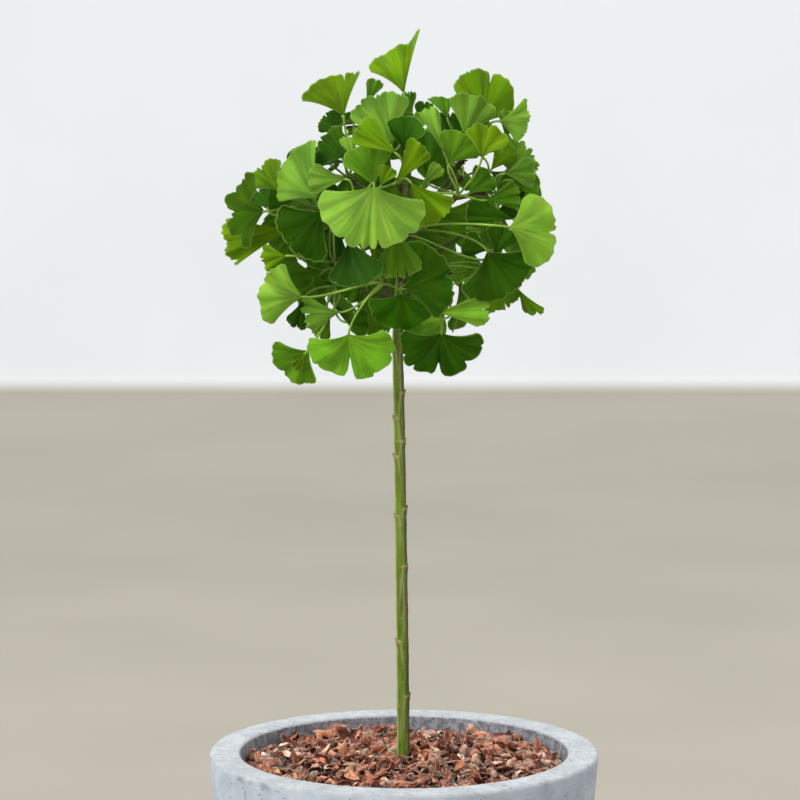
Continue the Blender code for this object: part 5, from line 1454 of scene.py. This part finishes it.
def shells():
    """Many small curved shells as whole arrays.

    A shell is an oval of half length a and half width b. Its middle face is hollow as
    0.9 (y / b) squared + 0.35 (x / a) squared times its depth, and its thickness swells with the root of
    1 - s squared, s being the share of the way to the edge, so that the third kind is a whole bean.
    """
    settings = look("shells")
    draw = np.random.default_rng(SHELL_SEED)
    count = settings.count
    kinds = draw.choice(len(SHELL_KINDS), count, p=[kind.share for kind in SHELL_KINDS])
    rows = np.array([kind[1:6] for kind in SHELL_KINDS])[kinds]
    size, width, hollow, full, ragged = rows.T
    half = settings.length / 2 * size * draw.uniform(*SHELL_LENGTHS, count)
    breadth = half * width * draw.uniform(*SHELL_WIDTHS, count)
    depth = hollow * breadth * draw.uniform(*SHELL_DEPTHS, count)
    depth = depth * draw.choice((-1, 1), count, p=SHELL_FACINGS)
    swell = full * half * BEAN_SWELL
    turn = np.arange(SHELL_SEGMENTS) * 2 * math.pi / SHELL_SEGMENTS
    jag = 1 - ragged[:, None] * draw.uniform(0, 1, (count, SHELL_SEGMENTS))
    share = np.array((0.55, 1.0))
    s = share[None, :, None] * (1 + (jag[:, None, :] - 1) * share[None, :, None] ** 2)
    x = np.cos(turn) * s
    y = np.sin(turn) * s
    middle = depth[:, None, None] * (0.9 * y * y + 0.35 * x * x)
    thick = SHELL_HALF_THICKNESS + swell[:, None, None] * np.sqrt(np.clip(1 - s * s, 0, 1))
    face = joined(x * half[:, None, None], y * breadth[:, None, None], middle)
    rise = joined(0.0, 0.0, thick)
    lift = joined(0.0, 0.0, SHELL_HALF_THICKNESS + swell[:, None])
    points = np.concatenate([
        lift, (face + rise).reshape(count, -1, 3), -lift, (face - rise).reshape(count, -1, 3),
    ], axis=1)
    steep = draw.normal(0, SHELL_TILT, (2, count))
    points = turned_by(points, draw.uniform(0, 2 * math.pi, count), steep[0], steep[1])
    return points, kinds, draw


def shell_faces():
    """The faces of one shell: a fan and a ring of quads on each side, and the broken edge between them."""
    n = SHELL_SEGMENTS
    ring = np.arange(n)
    side = 1 + 2 * n
    row = closed(ring) + 1
    top = strip(row, row + n)[:, ::-1]
    bottom = strip(row + side, row + side + n)
    edge = strip(row + n, row + side + n)[:, ::-1]
    return [fan(0, ring + 1), fan(side, ring + side + 1, False), top, bottom, edge]


def make_mulch():
    """The cocoa shells: a domed bed painted near black as shade, and shells strewn over it by a sunflower
    rule, each a golden turn on from the last at a radius that grows with the root of its number. The lower
    one lies, the darker it is painted, as painted shade. Those that reach the pot or the stem are pressed in
    to leave a gap."""
    batch = Batch("tone", "part")
    inner = pot_outside(MULCH_UNDERSIDE) - POT_WALL - GAP
    points, kinds, draw = shells()
    count = len(points)
    number = np.arange(count)
    radius = (inner - SHELL_STRAY) * np.sqrt((number + 0.5) / count)
    angle = number * math.pi * (3 - math.sqrt(5))
    x = radius * np.cos(angle) + draw.normal(0, SHELL_STRAY, count)
    y = radius * np.sin(angle) + draw.normal(0, SHELL_STRAY, count)
    level = draw.uniform(0, 1, count)
    z = mulch_dome(x, y) + (SHELL_RISE_MM * level - SHELL_SINK_MM) * MM
    points = points + joined(x, y, z)[:, None]
    wall = pot_outside(points[..., 2]) - POT_WALL - GAP
    away = np.linalg.norm(points[..., :2], axis=-1)
    points[..., :2] *= np.minimum(1, wall / away)[..., None]
    stem = stem_axis(MULCH_EDGE_HEIGHT)[:2]
    off = points[..., :2] - stem
    near = np.linalg.norm(off, axis=-1)
    points[..., :2] = stem + off * (np.maximum(near, STEM_SEAT_RADIUS + GAP) / near)[..., None]
    tones = np.array([kind.tones for kind in SHELL_KINDS])
    # Painted shade: the lower a shell lies, the darker its tone.
    darkest, added, power = SHELL_PAINTED_SHADE
    shade = tones[kinds, draw.integers(0, 4, count)] * (darkest + added * level ** power)[:, None]
    size = points.shape[1]
    ring_share = np.concatenate([[0], np.zeros(SHELL_SEGMENTS), np.ones(SHELL_SEGMENTS)])
    part = joined(np.tile(ring_share, 2), np.repeat((0.0, 1.0), size // 2), 0.0)
    start = (number * size)[:, None, None]
    faces = [(block + start).reshape(-1, block.shape[1]) for block in shell_faces()]
    batch.add(points, faces, tone=np.repeat(shade, size, axis=0), part=np.tile(part, (count, 1)))
    add_bed(batch, inner)
    batch.build("cocoa_shells", "shells", "cocoa_shell_mulch", shell_material())


def add_bed(batch, inner):
    """The closed bed under the shells: a crumbly dome on a flat underside, painted near black as the shade
    between them.
    """
    radii = inner * np.linspace(0.02, 1, BED_ROWS)
    ring = np.arange(BED_COLUMNS)
    radius, angle = np.meshgrid(radii, ring * 2 * math.pi / BED_COLUMNS, indexing="ij")
    x, y = radius * np.cos(angle), radius * np.sin(angle)
    bumps = np.sin(900 * x + 3 * np.sin(700 * y)) * np.sin(800 * y + 2 * np.sin(600 * x))
    z = mulch_dome(x, y) + BED_CRUMB * bumps * (radius < inner * 0.98)
    top = joined(x, y, z).reshape(-1, 3)
    low = joined(x[-1], y[-1], MULCH_UNDERSIDE)
    middles = joined(0.0, 0.0, (mulch_dome(0, 0), MULCH_UNDERSIDE))
    rim = ring + (BED_ROWS - 1) * BED_COLUMNS
    foot = rim + BED_COLUMNS
    last = len(top) + len(low)
    faces = [
        grid_quads(BED_ROWS, BED_COLUMNS, True)[:, ::-1], strip(closed(foot), closed(rim)),
        fan(last, ring), fan(last + 1, foot, False),
    ]
    batch.add(np.concatenate([top, low, middles]), faces, tone=BED_SHADE_TONE)


def stage_material():
    """Plain floor below and plain wall above, parted softly by height, with the faintest clouds."""
    made, w = new_material("Plain backdrop")
    place = w.here()
    up = w.split(place)[2]
    cloud = w.noise(place, 1.6, 2.0)
    floor = w.shifted(look("stage").floor, w.step(cloud, 0.3, 0.7, 0.96, 1.04))
    wall = w.shifted(look("stage").wall, w.step(cloud, 0.3, 0.7, 0.985, 1.015))
    w.surface(w.mix(w.step(up, 0.0, WALL_BEND), floor, wall), w.step(up, 0.0, WALL_BEND, 0.55, 0.95))
    return made


def make_backdrop():
    """A floor that rises into a wall: a line along Y, a quarter round and a line up, drawn out along X."""
    arc = quarter((FLOOR_END, WALL_BEND), WALL_BEND, -90, 90, 16)
    profile = np.concatenate([[(FLOOR_FRONT, 0.0)], arc, [(FLOOR_END + WALL_BEND, WALL_TOP)]])
    points = joined((-BACKDROP_HALF, BACKDROP_HALF), profile[:, :1], profile[:, 1:])
    mesh = bpy.data.meshes.new("plain_backdrop")
    mesh.from_pydata(points.reshape(-1, 3).tolist(), [], grid_quads(len(profile), 2).tolist())
    mesh.materials.append(stage_material())
    mesh.shade_smooth()
    backdrop = bpy.data.objects.new("plain_backdrop", mesh)
    bpy.context.scene.collection.objects.link(backdrop)


def add_lamp(name, source, tint):
    """Soft light that falls evenly on everything, from the side on which source lies."""
    data = bpy.data.lights.new(name, "SUN")
    data.energy = look("stage").lamp
    data.angle = LAMP_SPREAD
    data.color = tint
    lamp = bpy.data.objects.new(name, data)
    x, y, z = source
    lamp.rotation_euler = (math.atan2(math.hypot(x, y), z), 0.0, math.atan2(x, -y))
    bpy.context.scene.collection.objects.link(lamp)


def make_studio():
    """Backdrop, even sky light, two soft lamps and the camera of the front view."""
    make_backdrop()
    scene = bpy.context.scene
    sky = bpy.data.worlds.new("Even sky")
    sky.use_nodes = True
    background = sky.node_tree.nodes["Background"].inputs
    background["Color"].default_value = SKY_TINT
    background["Strength"].default_value = look("stage").sky
    scene.world = sky
    for name, (source, tint) in LAMPS.items():
        add_lamp(name, source, tint)
    data = bpy.data.cameras.new("front_camera")
    data.lens = VIEW_LENS
    data.clip_end = VIEW_CLIP
    camera = bpy.data.objects.new("front_camera", data)
    camera.location = VIEWPOINT
    camera.rotation_euler = (math.pi / 2 - VIEW_DOWN, 0.0, 0.0)
    scene.collection.objects.link(camera)
    scene.camera = camera
    scene.view_settings.view_transform = "Standard"


# Operators, panel and registration


class GINKGO_OT_pot(bpy.types.Operator):
    """Make the cast concrete pot"""

    bl_idname = "ginkgo.pot"
    bl_label = "Concrete pot"

    def execute(self, context):
        make_pot()
        return {"FINISHED"}


class GINKGO_OT_soil(bpy.types.Operator):
    """Give the packed soil its crumbly finish"""

    bl_idname = "ginkgo.soil"
    bl_label = "Potting soil"

    def execute(self, context):
        finishes = frame["nodes"]["potting_soil"].data.materials
        finishes.clear()
        finishes.append(soil_material())
        return {"FINISHED"}


class GINKGO_OT_mulch(bpy.types.Operator):
    """Strew the cocoa shells over the soil"""

    bl_idname = "ginkgo.mulch"
    bl_label = "Cocoa shells"

    def execute(self, context):
        make_mulch()
        return {"FINISHED"}


class GINKGO_OT_stem(bpy.types.Operator):
    """Make the stem with its buds and branches"""

    bl_idname = "ginkgo.stem"
    bl_label = "Stem and branches"

    def execute(self, context):
        make_stem()
        return {"FINISHED"}


class GINKGO_OT_sprays(bpy.types.Operator):
    """Make the whorls of fan leaves"""

    bl_idname = "ginkgo.sprays"
    bl_label = "Leaf sprays"

    def execute(self, context):
        materials = {
            "fresh_leaf": leaf_material("Fresh leaf", 1.50),
            "green_leaf": leaf_material("Green leaf", 1.40),
            "deep_leaf": leaf_material("Deep leaf", 1.30),
            "spur": spur_material(),
        }
        for name in WHORLS:
            make_spray(name, materials)
        return {"FINISHED"}


class GINKGO_OT_stage(bpy.types.Operator):
    """Make the plain backdrop, the lamps and the camera"""

    bl_idname = "ginkgo.stage"
    bl_label = "Stage"

    def execute(self, context):
        make_studio()
        return {"FINISHED"}


OPERATORS = (
    GINKGO_OT_pot, GINKGO_OT_soil, GINKGO_OT_mulch, GINKGO_OT_stem, GINKGO_OT_sprays, GINKGO_OT_stage,
)
SETTINGS = {
    "leaf": GinkgoLeafLook, "stem": GinkgoStemLook, "shells": GinkgoShellLook, "pot": GinkgoPotLook,
    "stage": GinkgoStageLook,
}


class GINKGO_PT_panel(bpy.types.Panel):
    """Lists the pieces and their settings"""

    bl_label = "Ginkgo"
    bl_idname = "GINKGO_PT_panel"
    bl_space_type = "VIEW_3D"
    bl_region_type = "UI"
    bl_category = "Ginkgo"

    def draw(self, context):
        for name, group in SETTINGS.items():
            for label in group.__annotations__:
                self.layout.prop(getattr(context.scene, "ginkgo_" + name), label)
        for operator in OPERATORS:
            self.layout.operator(operator.bl_idname)


def register():
    """Makes the settings, the operators and the panel known to Blender."""
    for made in (*SETTINGS.values(), *OPERATORS, GINKGO_PT_panel):
        bpy.utils.register_class(made)
    for name, group in SETTINGS.items():
        setattr(bpy.types.Scene, "ginkgo_" + name, PointerProperty(type=group))


def unregister():
    """Takes the settings, the operators and the panel out again."""
    for name in SETTINGS:
        delattr(bpy.types.Scene, "ginkgo_" + name)
    for made in (GINKGO_PT_panel, *reversed(OPERATORS), *SETTINGS.values()):
        bpy.utils.unregister_class(made)


def main():
    """Makes the pieces and the stage."""
    register()
    for operator in OPERATORS:
        group, name = operator.bl_idname.split(".")
        getattr(getattr(bpy.ops, group), name)()


if __name__ == "__main__":
    main()
